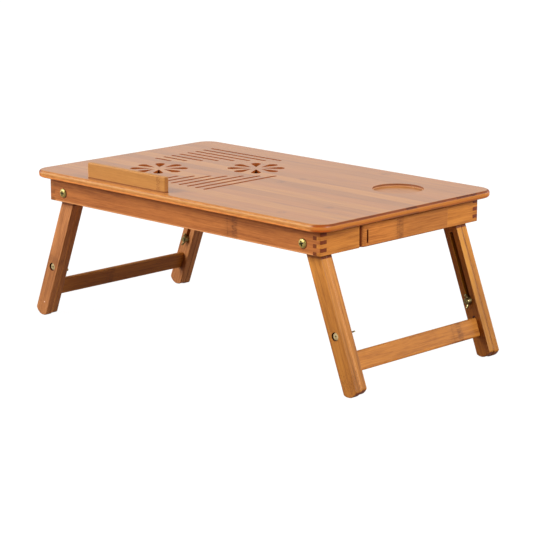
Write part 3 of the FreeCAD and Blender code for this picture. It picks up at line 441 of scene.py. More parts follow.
def top_bamboo():
    """The lacquered top: strips side by side, smoky streaks along them, and plies that show at the edges."""
    wood = Bamboo("top_bamboo", ALONG_X, ALONG_Y, TOP_TONES, seed=3.1)
    wood.fibres(0.45, 0.4)
    wood.paint()
    place = wood.math("DIVIDE", from_first_strip(wood), TOP_STRIP * len(TOP_STRIPS))
    stops = [(index / len(TOP_STRIPS), STRIP_TONES[name]) for index, name in enumerate(TOP_STRIPS)]
    wood.tint(1.0, wood.ramp(place, *stops, kind="CONSTANT"), "MULTIPLY")
    smoke = wood.fade(wood.grainy(120 * MM, 8 * MM, roughness=0.5), 0.5, 0.8)
    wood.tint(wood.times(smoke, 0.3), SMOKE_BROWN)
    for x, y in TOP_SMUDGES:
        near_x = wood.fade(wood.gap_to(wood.along, x), 11 * MM, 2 * MM)
        near_y = wood.fade(wood.gap_to(wood.across, y), 8 * MM, 4 * MM)
        blotch = wood.fade(wood.grainy(6 * MM, 5 * MM), 0.3, 0.6)
        wood.tint(wood.times(near_x, near_y, wood.times(blotch, 0.34)), SMUDGE_BROWN)
    wood.dark_lines(1.3 * MM, 0.17, 0.06)
    upwards = wood.parts(wood.normal)[Z]
    tilt = wood.math("ABSOLUTE", upwards)
    top_edges(wood, upwards, tilt)
    top_openings(wood, tilt)
    in_cup = wood.near(CUP, CUP_RADIUS + 1 * MM, 0.5 * MM, (1, 1, 0))
    cup_wall(wood, tilt, in_cup)
    coat = wood.math("MULTIPLY_ADD", wood.fade(tilt, 0.9, 0.99), TOP_COAT - EDGE_COAT, EDGE_COAT)
    coat = wood.times(coat, wood.math("MULTIPLY_ADD", in_cup, -0.15, 1.0))
    return wood.lacquered(Coat_Weight=coat, Coat_Roughness=0.22)


def top_edges(wood, upwards, tilt):
    """Bands at the long sides, plies at the short ends and round the corners, and a lit lower rim."""
    depth = wood.math("SUBTRACT", SURFACE, wood.deep)
    to_end, to_side = wood.facing(ALONG_X, 0.1, 0.3), wood.facing(ALONG_Y, 0.3, 0.5)
    side_bands(wood, depth, wood.times(to_side, wood.fade(tilt, 0.97, 0.8)))
    end_plies(wood, depth, wood.times(to_end, wood.fade(tilt, 0.99, 0.95)))
    corner = wood.times(wood.facing(ALONG_X, 0.15, 0.45), wood.facing(ALONG_Y, 0.1, 0.35))
    corner = wood.times(corner, wood.fade(tilt, 0.97, 0.9))
    wood.tint(wood.times(corner, 0.8), wood.ramp(wood.math("DIVIDE", depth, TOP_THICKNESS), *CORNER_PLIES))
    rim = wood.times(wood.fade(upwards, -0.05, -0.5), wood.fade(tilt, 0.99, 0.95))
    wood.tint(rim, RIM_LIGHT, "MULTIPLY")
    wood.tint(wood.times(rim, to_side), SIDE_RIM_LIGHT, "MULTIPLY")


def side_bands(wood, depth, near_side):
    """Bands that wander a little up and down, mottled and scratched."""
    uneven = wood.times(wood.math("SUBTRACT", wood.grainy(40 * MM, 22 * MM, roughness=0.5), 0.5), 2 * MM)
    bent = wood.math("ADD", depth, uneven)
    band = wood.ramp(wood.math("DIVIDE", bent, TOP_THICKNESS), *SIDE_BANDS)
    mottle = wood.fade(wood.grainy(9 * MM, 1.6 * MM), 0.35, 0.65)
    scratch = wood.fade(wood.grainy(22 * MM, 0.7 * MM), 0.55, 0.7)
    colour = wood.mix(wood.times(mottle, 0.35), band, MOTTLE_PALE)
    colour = wood.mix(wood.times(scratch, 0.4), colour, SCRATCH_BROWN)
    wood.tint(wood.times(near_side, 0.9), colour)


def end_plies(wood, depth, near_end):
    """Three plies, dark stretches in the top and the bottom one, and the dots of cut fibres."""
    plies = wood.ramp(wood.math("DIVIDE", depth, TOP_THICKNESS), *END_PLIES)
    wood.tint(wood.times(near_end, 0.95), plies)
    top_ply = wood.band(depth, 0.1 * MM, 2.4 * MM, 0.3 * MM)
    for start, end, strength in PLY_DASHES:
        dash = wood.times(wood.band(wood.across, start, end, 0.5 * MM), top_ply)
        wood.tint(wood.times(dash, near_end, 0.8 * strength), TOP_DASH_BROWN)
    strip = wood.math("FLOOR", wood.math("DIVIDE", from_first_strip(wood), TOP_STRIP))
    chosen = wood.math("LESS_THAN", wood.random(wood.joined(strip, 0.77, 0.0)), 0.5)
    dash = wood.times(chosen, wood.band(depth, 6.8 * MM, 9.8 * MM, 0.3 * MM))
    wood.tint(wood.times(dash, near_end, 0.6), BOTTOM_DASH_BROWN)
    dots = wood.fade(wood.grainy(1.2 * MM, 0.8 * MM), 0.45, 0.6)
    wood.tint(wood.times(dots, near_end, 0.18), NODE_BROWN)


def top_openings(wood, tilt):
    """The walls of the slots and the petals are painted darker and browner than the lacquered face, as
    painted shade in these openings.
    """
    inside = wood.times(wood.fade(wood.math("ABSOLUTE", wood.along), 228 * MM, 222 * MM),
                        wood.fade(wood.math("ABSOLUTE", wood.across), 142 * MM, 136 * MM))
    wood.tint(wood.times(wood.fade(tilt, 0.8, 0.5), inside, 0.95), SLOT_SHADE_BROWN)


def cup_wall(wood, tilt, in_cup):
    """The wall of the cup recess is brown at its rim and nearly as pale as the floor further down."""
    low_down = wood.fade(wood.deep, CUP_BROWN_DOWN_TO + 0.3 * MM, CUP_BROWN_DOWN_TO - 0.3 * MM)
    wood.tint(wood.times(wood.fade(tilt, 0.8, 0.5), in_cup), wood.mix(low_down, CUP_BROWN, CUP_PALE))
    wood.tint(wood.times(wood.near(CUP_DOT, 1.6 * MM, 0.5 * MM, (1, 1, 0)), 0.5), NODE_BROWN)


# ---------------------------------------------------------------- steel


BRIGHT_ZINC = (tone(142, 128, 60), tone(178, 164, 98), tone(158, 150, 102))
DULL_ZINC = (tone(164, 146, 98), tone(192, 176, 132), tone(178, 166, 130))
DARK_ZINC = (tone(112, 100, 58), tone(150, 138, 94), tone(130, 122, 88))
# A darker coat for the threaded ends.
DARKER_ZINC = (tone(96, 84, 42), tone(126, 112, 66), tone(110, 102, 70))
# Near-black painted shade for the inside of the screwdriver crosses.
RECESS_SHADE_TONES = (tone(26, 22, 10), tone(38, 34, 18), tone(32, 30, 18))


def plated_steel(name, shine, dull, tones, metal=1.0):
    """Steel with a yellow passivated zinc coat, thicker and thinner in clouds."""
    finish = Finish(name)
    cloud = finish.noise(finish.spot, 240.0, 3.0)
    speck = finish.noise(finish.spot, 2400.0, 2.0)
    colour = finish.ramp(cloud, *zip((0.3, 0.5, 0.7), tones))
    roughness = finish.math("ADD", finish.math("MULTIPLY_ADD", cloud, dull - shine, shine),
                           finish.times(speck, 0.06))
    return finish.done(colour, roughness, speck, 0.01 * MM, Metallic=metal)


# ---------------------------------------------------------------- workbench


def only(thing):
    """Nothing else is selected, and this object is the active one."""
    bpy.ops.object.select_all(action="DESELECT")
    thing.select_set(True)
    bpy.context.view_layer.objects.active = thing


def fix_place(thing):
    """The object's place, turn and size go into its mesh."""
    only(thing)
    bpy.ops.object.transform_apply(location=True, rotation=True, scale=True)


def mode(kind):
    bpy.ops.object.mode_set(mode=kind)


def added(name, data):
    """A new object in the scene."""
    thing = bpy.data.objects.new(name, data)
    bpy.context.scene.collection.objects.link(thing)
    return thing


def face_outwards():
    """In edit mode, every face is selected and looks out of the solid."""
    bpy.ops.mesh.select_all(action="SELECT")
    bpy.ops.mesh.normals_make_consistent(inside=False)


def pick(thing, kind, wanted):
    """In edit mode, only the faces, edges or points that pass the test are selected."""
    bpy.ops.mesh.select_mode(type=kind)
    bpy.ops.mesh.select_all(action="DESELECT")
    mesh = bmesh.from_edit_mesh(thing.data)
    for part in {"FACE": mesh.faces, "EDGE": mesh.edges, "VERT": mesh.verts}[kind]:
        if wanted(part):
            part.select_set(True)
    mesh.select_flush_mode()
    bmesh.update_edit_mesh(thing.data)


def settle(thing, angle):
    """Edges flatter than angle look round, and large faces stay flat."""
    only(thing)
    bpy.ops.object.shade_smooth_by_angle(angle=math.radians(angle))
    bpy.ops.object.modifier_add(type="WEIGHTED_NORMAL")
    thing.modifiers[-1].keep_sharp = True
    bpy.ops.object.modifier_apply(modifier=thing.modifiers[-1].name)


def cut_away(thing, tool, operation="DIFFERENCE"):
    """A boolean cut, after which the tool is gone."""
    only(thing)
    bpy.ops.object.modifier_add(type="BOOLEAN")
    cut = thing.modifiers[-1]
    cut.operation = operation
    cut.solver = "EXACT"
    cut.object = tool
    bpy.ops.object.modifier_apply(modifier=cut.name)
    only(tool)
    bpy.ops.object.delete()
    only(thing)


def turned(name, stations, sides):
    """A solid turned about Z from (radius, height) pairs in millimetres, first to last upwards."""
    radius, height = stations[0]
    bpy.ops.mesh.primitive_circle_add(vertices=sides, radius=radius * MM, fill_type="NGON",
                                      location=(0, 0, height * MM))
    thing = bpy.context.object
    thing.name = name
    fix_place(thing)
    mode("EDIT")
    bpy.ops.mesh.select_all(action="SELECT")
    for next_radius, next_height in stations[1:]:
        rise = (0, 0, (next_height - height) * MM)
        bpy.ops.mesh.extrude_region_move(TRANSFORM_OT_translate={"value": rise})
        share = next_radius / radius
        bpy.ops.transform.resize(value=(share, share, 1), center_override=(0, 0, next_height * MM))
        radius, height = next_radius, next_height
    face_outwards()
    mode("OBJECT")
    return thing


def block(name, low, high):
    """A box between two corners, in millimetres."""
    low, high = Vector(low) * MM, Vector(high) * MM
    bpy.ops.mesh.primitive_cube_add(size=1, location=(low + high) / 2)
    thing = bpy.context.object
    thing.name = name
    thing.scale = high - low
    fix_place(thing)
    return thing


def dress(thing, node, material=None, replaces=True):
    """The piece gets its finish and the body of the node that it stands for."""
    if material is not None:
        thing.data.materials.clear()
        thing.data.materials.append(material)
    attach(thing, body_of_node[node])
    if replaces:
        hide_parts(node)


def copy_at(pattern, name, place):
    """A copy with a mesh of its own, put in place by a matrix that is then applied."""
    thing = added(name, pattern.data.copy())
    thing.matrix_world = place
    fix_place(thing)
    return thing


def put_away(pattern):
    """A pattern that has been copied goes."""
    only(pattern)
    bpy.ops.object.delete()


# ---------------------------------------------------------------- eased boards


def eased(node, ease, wanted=None, steps=2, name=None):
    """The board with its sharp edges eased, as sandpaper leaves them; wanted says which edges."""
    board = added(name or node + "_board", nodes[node].data.copy())
    only(board)
    mode("EDIT")
    bpy.ops.mesh.customdata_custom_splitnormals_clear()
    bpy.ops.mesh.select_all(action="SELECT")
    bpy.ops.mesh.remove_doubles(threshold=0.001 * MM)
    bpy.ops.mesh.select_all(action="SELECT")
    bpy.ops.mesh.dissolve_limited(angle_limit=math.radians(1))

    def sharp(edge):
        if len(edge.link_faces) != 2 or edge.calc_face_angle(0) < math.radians(40):
            return False
        return wanted is None or wanted(edge.verts[0].co, edge.verts[1].co)

    pick(board, "EDGE", sharp)
    bpy.ops.mesh.bevel(offset=ease * MM, segments=steps, affect="EDGES", clamp_overlap=False)
    mode("OBJECT")
    settle(board, 50)
    return board


def long_edges(shortest):
    return lambda a, b: (a - b).length > shortest * MM


def frame_rim(a, b):
    """The outer edges round the foot of the frame, and the long inner ones."""
    if abs(a.z - FRAME_FOOT) > NEAR or abs(b.z - FRAME_FOOT) > NEAR:
        return False
    if (a - b).length > 60 * MM:
        return True
    slack = 3 * MM
    outside = [abs(p.x) > FRAME_X - slack and abs(p.y) > FRAME_Y - APRON - NEAR
               or abs(p.y) > FRAME_Y - slack and abs(p.x) > FRAME_X - APRON - NEAR for p in (a, b)]
    return all(outside) and not (abs(a.x) < FRAME_X - slack and abs(a.y) < FRAME_Y - slack)


def away_from_bolts(side, end, kinds):
    """Edges that aren't the rims of the bolt holes."""
    def wanted(a, b):
        for kind in kinds:
            centre = middle_of(f"{kind}_bolt_{side}_{end}")
            for point in (a, b):
                if math.hypot(point.x - centre.x, point.z - centre.z) < 6.2 * MM:
                    return False
        return True
    return wanted


# ---------------------------------------------------------------- fasteners, modelled with their axes on Z


def cross_recess(thing, top, reach, breadth, depth, steel):
    """Sinks a screwdriver's cross that narrows towards its bottom, sizes in millimetres."""
    half = breadth / 2
    thing.data.materials.append(steel)
    thing.data.materials.append(RECESS_SHADE)
    tool = block("cross_tool", (-half, -half, top - depth), (half, half, top + 1))
    mode("EDIT")
    pick(tool, "FACE", lambda face: abs(face.normal.z) < 0.5)
    grow = {"value": (reach - half) * MM}
    bpy.ops.mesh.extrude_faces_move(TRANSFORM_OT_shrink_fatten=grow)
    pick(tool, "VERT", lambda point: point.co.z < (top - depth / 2) * MM)
    bpy.ops.transform.resize(value=(0.55, 0.55, 1), center_override=(0, 0, 0))
    face_outwards()
    mode("OBJECT")
    cut_away(thing, tool)
    sunk = 0.02 * MM
    mode("EDIT")

    def in_recess(face):
        middle = face.calc_center_median()
        flat = math.hypot(middle.x, middle.y) < reach * MM and abs(face.normal.z) < 0.6
        return middle.z > (top - depth - 0.1) * MM and (flat or middle.z < (top - depth) * MM + sunk)

    # The faces of the recess get the near-black painted shade.
    pick(thing, "FACE", in_recess)
    thing.active_material_index = 1
    bpy.ops.object.material_slot_assign()
    mode("OBJECT")


def threads(low, high, crest, root, pitch):
    """Stations of ring after ring of a thread."""
    stations = []
    height = low
    while height + pitch < high:
        stations += [(root, height), (crest, height + pitch * 0.35), (crest, height + pitch * 0.6)]
        height += pitch
    return stations


def pivot_bolt_pattern():
    """A domed head with a deep cross, a plain shank and a threaded end."""
    shank = 27.5
    stations = [(2.5, -shank), (2.9, -shank + 0.5)] + threads(-shank + 0.7, -17, 3.0, 2.6, 1.0)
    stations += [(3.0, -16.5), (3.0, 0)]
    stations += [(6.1, 0), (6.25, 0.25), (6.15, 0.75), (5.75, 1.3)]
    stations += [(5.05, 1.8), (4.0, 2.2), (2.7, 2.42), (1.2, 2.5)]
    bolt = turned("pivot_bolt_pattern", stations, 48)
    cross_recess(bolt, 2.5, 4.3, 2.2, 2.1, STEEL)
    settle(bolt, 42)
    return bolt


def screw_head_pattern():
    """A small countersunk head with a cross."""
    head = turned("screw_pattern", [(0.9, -2.4), (1.0, -0.8), (1.9, 0.0)], 24)
    cross_recess(head, 0.0, 1.1, 0.45, 0.6, STEEL)
    settle(head, 42)
    return head


def hex_nut_pattern():
    """A hexagon nut, its corners turned off at both faces, with its bore."""
    radius = 5 / math.cos(math.radians(30)) * MM
    bpy.ops.mesh.primitive_cylinder_add(vertices=6, radius=radius, depth=5 * MM, location=(0, 0, 2.5 * MM),
                                        rotation=(0, 0, math.radians(30)))
    nut = bpy.context.object
    nut.name = "hex_nut_pattern"
    fix_place(nut)
    barrel = turned("nut_barrel", [(4.75, 0), (5.9, 0.7), (5.9, 4.3), (4.75, 5)], 60)
    cut_away(nut, barrel, "INTERSECT")
    cut_away(nut, turned("nut_bore", [(3.02, -1), (3.02, 6)], 40))
    settle(nut, 30)
    return nut


WING_STATIONS = (
    # along, up, lean in degrees, half height, half thickness, all in millimetres but the lean
    (3.9, 2.9, 0, 2.2, 1.5),
    (5.4, 3.35, 22, 2.15, 1.25),
    (7.0, 4.5, 42, 2.25, 1.1),
    (8.2, 5.8, 52, 2.25, 1.05),
    (8.95, 6.9, 58, 1.9, 1.0),
    (9.3, 7.5, 60, 1.2, 0.9),
)


def wing_pattern(side):
    """One swept paddle, drawn out of the hub face by face and rounded by subdivision."""
    along, up, lean, half, thick = WING_STATIONS[0]
    wing = block("wing_pattern", (along - 0.8, -thick, up - half), (along, thick, up + half))
    mode("EDIT")
    pick(wing, "FACE", lambda face: face.normal.x > 0.9)
    for next_along, next_up, next_lean, next_half, next_thick in WING_STATIONS[1:]:
        step = ((next_along - along) * MM, 0, (next_up - up) * MM)
        bpy.ops.mesh.extrude_region_move(TRANSFORM_OT_translate={"value": step})
        middle = (next_along * MM, 0, next_up * MM)
        turn = math.radians(next_lean - lean)
        bpy.ops.transform.rotate(value=turn, orient_axis="Y", center_override=middle)
        share = next_half / half
        bpy.ops.transform.resize(value=(share, next_thick / thick, share), center_override=middle)
        along, up, lean, half, thick = next_along, next_up, next_lean, next_half, next_thick
    mode("OBJECT")
    bpy.ops.object.modifier_add(type="SUBSURF")
    wing.modifiers[-1].levels = 2
    wing.modifiers[-1].render_levels = 2
    bpy.ops.object.modifier_apply(modifier=wing.modifiers[-1].name)
    if side < 0:
        wing.rotation_euler = (0, 0, math.pi)
        fix_place(wing)
    return wing


def wing_nut_pattern():
    """A tapered hub with two upswept wings and its bore."""
    stations = [(4.9, 0), (5.2, 0.35), (5.1, 1.4), (4.7, 3.2), (4.35, 5.2), (4.1, 5.9), (3.8, 6.2)]
    hub = turned("wing_nut_pattern", stations, 40)
    for side in (1, -1):
        cut_away(hub, wing_pattern(side), "UNION")
    cut_away(hub, turned("wing_nut_bore", [(3.1, -1), (3.1, 7)], 40))
    settle(hub, 45)
    return hub


# ---------------------------------------------------------------- finishes


APRON_TONES = three_tones(166, 99, 46)
END_TONES = three_tones(177, 112, 46)
DRAWER_TONES = three_tones(162, 100, 44)
LEG_TONES = three_tones(178, 116, 46)
PALE_LEG_TONES = three_tones(180, 120, 36)
OLIVE_LEG_TONES = three_tones(180, 116, 26)
LEFT_LEG_TONES = three_tones(184, 122, 72)
STRETCHER_TONES = three_tones(166, 104, 38)
LEDGE_TONES = three_tones(175, 121, 60)
INNER_TONES = three_tones(168, 106, 50)

STEEL = plated_steel("yellow_zinc", 0.36, 0.5, BRIGHT_ZINC, 0.85)
DULL_STEEL = plated_steel("dull_zinc", 0.5, 0.6, DULL_ZINC, 0.6)
DARK_STEEL = plated_steel("dark_zinc", 0.24, 0.38, DARK_ZINC)
THREAD_STEEL = plated_steel("darker_thread", 0.5, 0.65, DARKER_ZINC, 0.6)
# Painted shade for the insides of the crosses.
RECESS_SHADE = plated_steel("shaded_recess", 0.7, 0.9, RECESS_SHADE_TONES, 0.0)

# Small marks in the wood: a pin in a foot, a painted dark spot of shadow beside a stretcher, a row of flecks
# on the ledge.
FOOT_PIN = (-0.2902, -0.140, 0.0200)
STRETCHER_SHADOW = (0.2805, 0.1213, 0.0527)
LEDGE_FLECKS_X = -0.0275


def leg_grain(side):
    return Vector((SIDES[side] * math.sin(SPLAY), 0, -math.cos(SPLAY)))


def end_grain_short_of_lit_corner(wood):
    """The dark end grain that faces the front stops short of the very corner, which stays pale as painted
    light, as if it were rounded and turned to the lamp.
    """
    edge = wood.math("ABSOLUTE", wood.parts(wood.spot)[X])
    return wood.fade(edge, FRAME_X - 5.2 * MM, FRAME_X - 6.4 * MM)


def apron_painted_light_and_shadow(wood):
    """The rounded lower edge is painted pale as painted light thrown up from the floor, and each bolt head
    has a dark ring of painted shadow set off to its right and below.
    """
    height = wood.from_plane(Z, FRAME_FOOT)
    # Painted light on the lower edge.
    wood.tint(wood.times(wood.fade(height, 2.8 * MM, 1.2 * MM), 0.6), tone(226, 160, 102))
    for side in SIDES:
        # Painted shadow of the bolt head, offset to the right and down.
        ring = middle_of(f"pivot_bolt_{side}_front") + Vector((0.8, 0, -0.4)) * MM
        wood.tint(wood.times(wood.near(ring, 6.9 * MM, 0.4 * MM, (1, 0, 1)), 0.7), tone(78, 34, 12))


def drawer_paler_end_and_painted_shade(wood):
    """Its outer face is paler towards its near end, and darkened with painted shade along its top under the
    top's overhang and beside the gap.
    """
    outer_face = wood.facing(ALONG_X, 0.5, 0.9)
    from_end = wood.from_plane(Y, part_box("drawer_front")[0].y)
    pale = wood.mix(wood.fade(from_end, 110 * MM, 20 * MM), (1, 1, 1, 1), (1.34, 1.35, 1.24, 1))
    wood.tint(1.0, pale, "MULTIPLY")
    # Painted shade beside the gap to the end block.
    beside_gap = wood.times(wood.fade(from_end, 4.2 * MM, 1.0 * MM), outer_face)
    wood.tint(wood.times(beside_gap, 0.8), tone(92, 32, 8))
    # Painted shadow along its top edge, under the top.
    from_top = wood.from_plane(Z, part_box("drawer_front")[1].z)
    along_top = wood.times(wood.fade(from_top, -2.4 * MM, -1.2 * MM), outer_face)
    wood.tint(wood.times(along_top, 0.75), tone(84, 28, 4))


def ledge_shadow_line_and_flecks(wood):
    """A dark line of painted shadow where it meets the top, and a row of flecks across it near its right end.
    """
    height = wood.from_plane(Z, SURFACE)
    # Painted contact shadow along its foot.
    wood.tint(wood.times(wood.fade(height, 2.2 * MM, 1.2 * MM), 0.75), tone(104, 52, 20))
    from_flecks = wood.math("ABSOLUTE", wood.from_plane(X, LEDGE_FLECKS_X))
    dots = wood.fade(wood.grainy(1.6 * MM, 1.6 * MM, 1.0, 0.5), 0.45, 0.6)
    row = wood.times(wood.fade(from_flecks, 5 * MM, 2.4 * MM), dots)
    wood.tint(wood.times(row, 0.6), tone(124, 70, 34))


def left_foot_pin(wood):
    """The end of a small pin in the near left leg."""
    wood.tint(wood.near(FOOT_PIN, 0.9 * MM, 0.2 * MM), tone(226, 196, 172))


def foot_flecks(wood):
    """Small dark dots down the foot of the near right leg."""
    wood.flecked(0.072, 0.103, 0.5)


def shadow_by_stretcher(wood):
    """A small dark spot of painted shadow just above the end of the stretcher, and painted shade that makes
    the inner and outer faces darker and redder.
    """
    # Painted shade: the faces along Y are darker and redder.
    wood.tint(wood.facing(ALONG_Y, 0.5, 0.9), (0.88, 0.7, 0.6, 1), "MULTIPLY")
    # Painted shadow above the stretcher's end.
    wood.tint(wood.times(wood.near(STRETCHER_SHADOW, 2.8 * MM, 0.4 * MM), 0.9), tone(44, 8, 4))


LEG_SPOTS = {
    ("outer", "left", "front"): left_foot_pin,
    ("outer", "right", "front"): foot_flecks,
    ("inner", "right", "back"): shadow_by_stretcher,
}


def leg_painted_shade_and_marks(kind, side, end):
    """Darker towards the foot; painted shadow under the frame; painted light at the seam of the front legs
    and painted shade at that of the back ones; painted shade in the counterbore, where bare drilled wood is
    darker too.
    """
    outer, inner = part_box(f"outer_leg_{side}_{end}"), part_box(f"inner_leg_{side}_{end}")
    seam = (outer[1].y + inner[0].y) / 2 if end == "front" else (outer[0].y + inner[1].y) / 2
    # Painted light beside the seam at the front legs, painted shade beside it at the back ones.
    seam_painted_shading = tone(224, 156, 88) if end == "front" else tone(124, 70, 26)
    face = outer[0].y if end == "front" else outer[1].y
    bolt = middle_of(f"clamp_bolt_{side}_{end}")

    def shade_and_mark(wood):
        height = wood.from_plane(Z, 0.0)
        shade = wood.mix(wood.fade(height, 55 * MM, 150 * MM), (0.74, 0.7, 0.64, 1), (1, 1, 1, 1))
        wood.tint(1.0, shade, "MULTIPLY")
        from_seam = wood.math("ABSOLUTE", wood.from_plane(Y, seam))
        wood.tint(wood.times(wood.fade(from_seam, 1.8 * MM, 1.2 * MM), 0.45), seam_painted_shading)
        under_frame = wood.math("SUBTRACT", height, FRAME_FOOT)
        # Painted shadow that the frame casts on the top of the leg.
        shadow_under_frame = wood.math("MULTIPLY_ADD", wood.facing(ALONG_X, 0.5, 0.8), 0.4, 0.45)
        shadow_under_frame = wood.times(shadow_under_frame, wood.fade(under_frame, -7.0 * MM, -6.2 * MM))
        wood.tint(shadow_under_frame, tone(92, 20, 0))
        if kind == "outer":
            from_face = wood.math("ABSOLUTE", wood.from_plane(Y, face))
            rim = wood.times(wood.fade(from_face, 1.6 * MM, 1.0 * MM),
                             wood.fade(from_face, 0.1 * MM, 0.5 * MM))
            wood.tint(wood.times(rim, 0.3), tone(90, 48, 20))
            # Painted shade in the counterbore round the clamp bolt, over bare drilled wood that is darker
            # too.
            sunk = wood.fade(from_face, 0.5 * MM, 0.9 * MM)
            counterbore_shade = wood.times(wood.near(bolt, 6.2 * MM, 0.2 * MM, (1, 0, 1)), sunk)
            wood.tint(wood.times(counterbore_shade, 0.9), tone(46, 22, 10))
        if (kind, side, end) in LEG_SPOTS:
            LEG_SPOTS[(kind, side, end)](wood)

    return shade_and_mark


def wood_for_frame():
    """Finishes of the frame's and the drawer's boards, by node."""
    return {
        "front_apron": board_bamboo(
            "front_apron_bamboo", ALONG_X, UP, APRON_TONES, 0.31, ((0.0955, 1.0, 13 * MM),),
            extra=apron_painted_light_and_shadow),
        "back_apron": board_bamboo(
            "back_apron_bamboo", ALONG_X, UP, APRON_TONES, 1.7, ((-0.06, 0.8, 8 * MM),), extra=apron_painted_light_and_shadow),
        "left_end_apron": board_bamboo(
            "left_end_bamboo", ALONG_Y, UP, END_TONES, 2.9, ((0.03, 0.8, 7 * MM),), end_depth=0.5),
        "end_block_front": board_bamboo(
            "front_block_bamboo", ALONG_Y, UP, END_TONES, 4.3, end_mask=end_grain_short_of_lit_corner),
        "end_block_back": board_bamboo(
            "back_block_bamboo", ALONG_Y, UP, END_TONES, 5.9, end_mask=end_grain_short_of_lit_corner),
        "drawer_front": board_bamboo(
            "drawer_front_bamboo", ALONG_Y, UP, DRAWER_TONES, 6.4, ((-0.0105, 1.0, 7 * MM),),
            extra=drawer_paler_end_and_painted_shade),
        "laptop_ledge": board_bamboo(
            "ledge_bamboo", ALONG_X, UP, LEDGE_TONES, 0.9, fine=0.5, broad=0.4, lines=0.08, end_depth=0.45,
            extra=ledge_shadow_line_and_flecks),
    }


def leg_tones(kind, side, end):
    if side == "left":
        return LEFT_LEG_TONES
    if end == "back":
        return PALE_LEG_TONES if kind == "inner" else OLIVE_LEG_TONES
    return LEG_TONES


def wood_for_legs():
    woods = {}
    for side, turn in SIDES.items():
        grain = leg_grain(side)
        across = grain.cross(ALONG_Y)
        for number, end in enumerate(ENDS):
            seed = 8.1 + turn * 1.3 + number * 2.7
            for kind, step in (("outer", 0.0), ("inner", 0.9)):
                marks = ((0.0125, 0.5, 5 * MM),) if (kind, side, end) == ("outer", "left", "front") else ()
                node = f"{kind}_leg_{side}_{end}"
                woods[node] = board_bamboo(
                    node + "_bamboo", grain, across, leg_tones(kind, side, end), seed + step, marks,
                    broad=1.1, lines=0.35, extra=leg_painted_shade_and_marks(kind, side, end))
        marks = ((0.069, 0.8, 13 * MM),) if side == "right" else ((-0.03, 0.6, 9 * MM),)
        woods[f"stretcher_{side}"] = board_bamboo(
            f"stretcher_{side}_bamboo", ALONG_Y, grain, STRETCHER_TONES, 3.3 + turn, marks)
    return woods


INNER_GRAIN = {
    "drawer_head_rail": ALONG_Y, "drawer_runner_front": ALONG_X, "drawer_runner_back": ALONG_X,
    "rack_rail_left": ALONG_Y, "rack_rail_right": ALONG_Y, "drawer_side_front": ALONG_X,
    "drawer_side_back": ALONG_X, "drawer_back": ALONG_Y, "drawer_bay_panel": ALONG_Y,
    "prop_foot_dowel": ALONG_X, "prop_brace": ALONG_X, "prop_arm_left": ALONG_Y, "prop_arm_right": ALONG_Y,
    "prop_bracket_left": ALONG_Y, "prop_bracket_right": ALONG_Y, "drawer_floor_panel": ALONG_Y,
}


def wood_for_inside():
    return {name: board_bamboo(name + "_bamboo", grain, UP, INNER_TONES, 0.37 * index)
            for index, (name, grain) in enumerate(INNER_GRAIN.items())}


# ---------------------------------------------------------------- the pieces in place


def finish_node(node, material):
    """A CAD node that is shown as it is gets its finish."""
    nodes[node].data.materials.clear()
    nodes[node].data.materials.append(material)


def boards(woods):
    """Each board of the stand with its edges eased, but for the stretchers, which get their finish as they
    are.
    """
    for node in ("front_apron", "back_apron", "left_end_apron", "end_block_front", "end_block_back"):
        dress(eased(node, 1.0, frame_rim), node, woods[node])
    for node in ("laptop_ledge", "drawer_front"):
        dress(eased(node, 0.4), node, woods[node])
    for node in INNER_GRAIN:
        if node == "prop_foot_dowel":
            dress(eased(node, 0.5, steps=3), node, woods[node])
        else:
            dress(eased(node, 0.5, long_edges(5)), node, woods[node])
    for side in SIDES:
        finish_node(f"stretcher_{side}", woods[f"stretcher_{side}"])
        for end in ENDS:
            for kind, ease, bolts in (("outer", 1.1, ("pivot", "clamp")), ("inner", 1.1, ("clamp",))):
                node = f"{kind}_leg_{side}_{end}"
                dress(eased(node, ease, away_from_bolts(side, end, bolts)), node, woods[node])


def facing(end):
    """The turn that points a fastener's own Z outwards at this end."""
    return Matrix.Rotation(math.radians(-90 * ENDS[end]), 4, "X")


# How far each wing nut is turned, and how far the crosses in the pivot bolts are, in degrees.
WING_TURN = {
    ("right", "front"): -24, ("right", "back"): 101, ("left", "front"): 78, ("left", "back"): 72,
}
CROSS_TURN = {"left": 18, "right": 40}
CROSS_STEP = 23


def fasteners():
    """A pivot bolt with its nut, and a clamp bolt with its wing nut, in each leg."""
    pivot_bolt = pivot_bolt_pattern()
    hex_nut = hex_nut_pattern()
    wing_nut = wing_nut_pattern()
    for side in SIDES:
        for end, way in ENDS.items():
            spot = f"{side}_{end}"
            centre = middle_of("pivot_bolt_" + spot)
            seat = Vector((centre.x, FRAME_Y * way, centre.z))
            spin = Matrix.Rotation(math.radians(CROSS_TURN[side] + CROSS_STEP * way), 4, "Z")
            place = Matrix.Translation(seat) @ facing(end) @ spin
            bolt = copy_at(pivot_bolt, f"pivot_bolt_{spot}_steel", place)
            dress(bolt, "pivot_bolt_" + spot)
            low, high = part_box("pivot_nut_" + spot)
            seat = Vector((centre.x, high.y if way > 0 else low.y, centre.z))
            inwards = Matrix.Rotation(math.radians(90 * way), 4, "X")
            nut = copy_at(hex_nut, f"pivot_nut_{spot}_steel", Matrix.Translation(seat) @ inwards)
            dress(nut, "pivot_nut_" + spot, STEEL)
            centre = middle_of("clamp_bolt_" + spot)
            low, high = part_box("wing_nut_" + spot)
            seat = Vector((centre.x, high.y if way > 0 else low.y, centre.z))
            spin = Matrix.Rotation(math.radians(WING_TURN[(side, end)]), 4, "Z")
            nut = copy_at(wing_nut, f"wing_nut_{spot}_steel", Matrix.Translation(seat) @ inwards @ spin)
            dress(nut, "wing_nut_" + spot, DARK_STEEL)
            clamp_bolt(side, end, way)
    for pattern in (pivot_bolt, hex_nut, wing_nut):
        put_away(pattern)


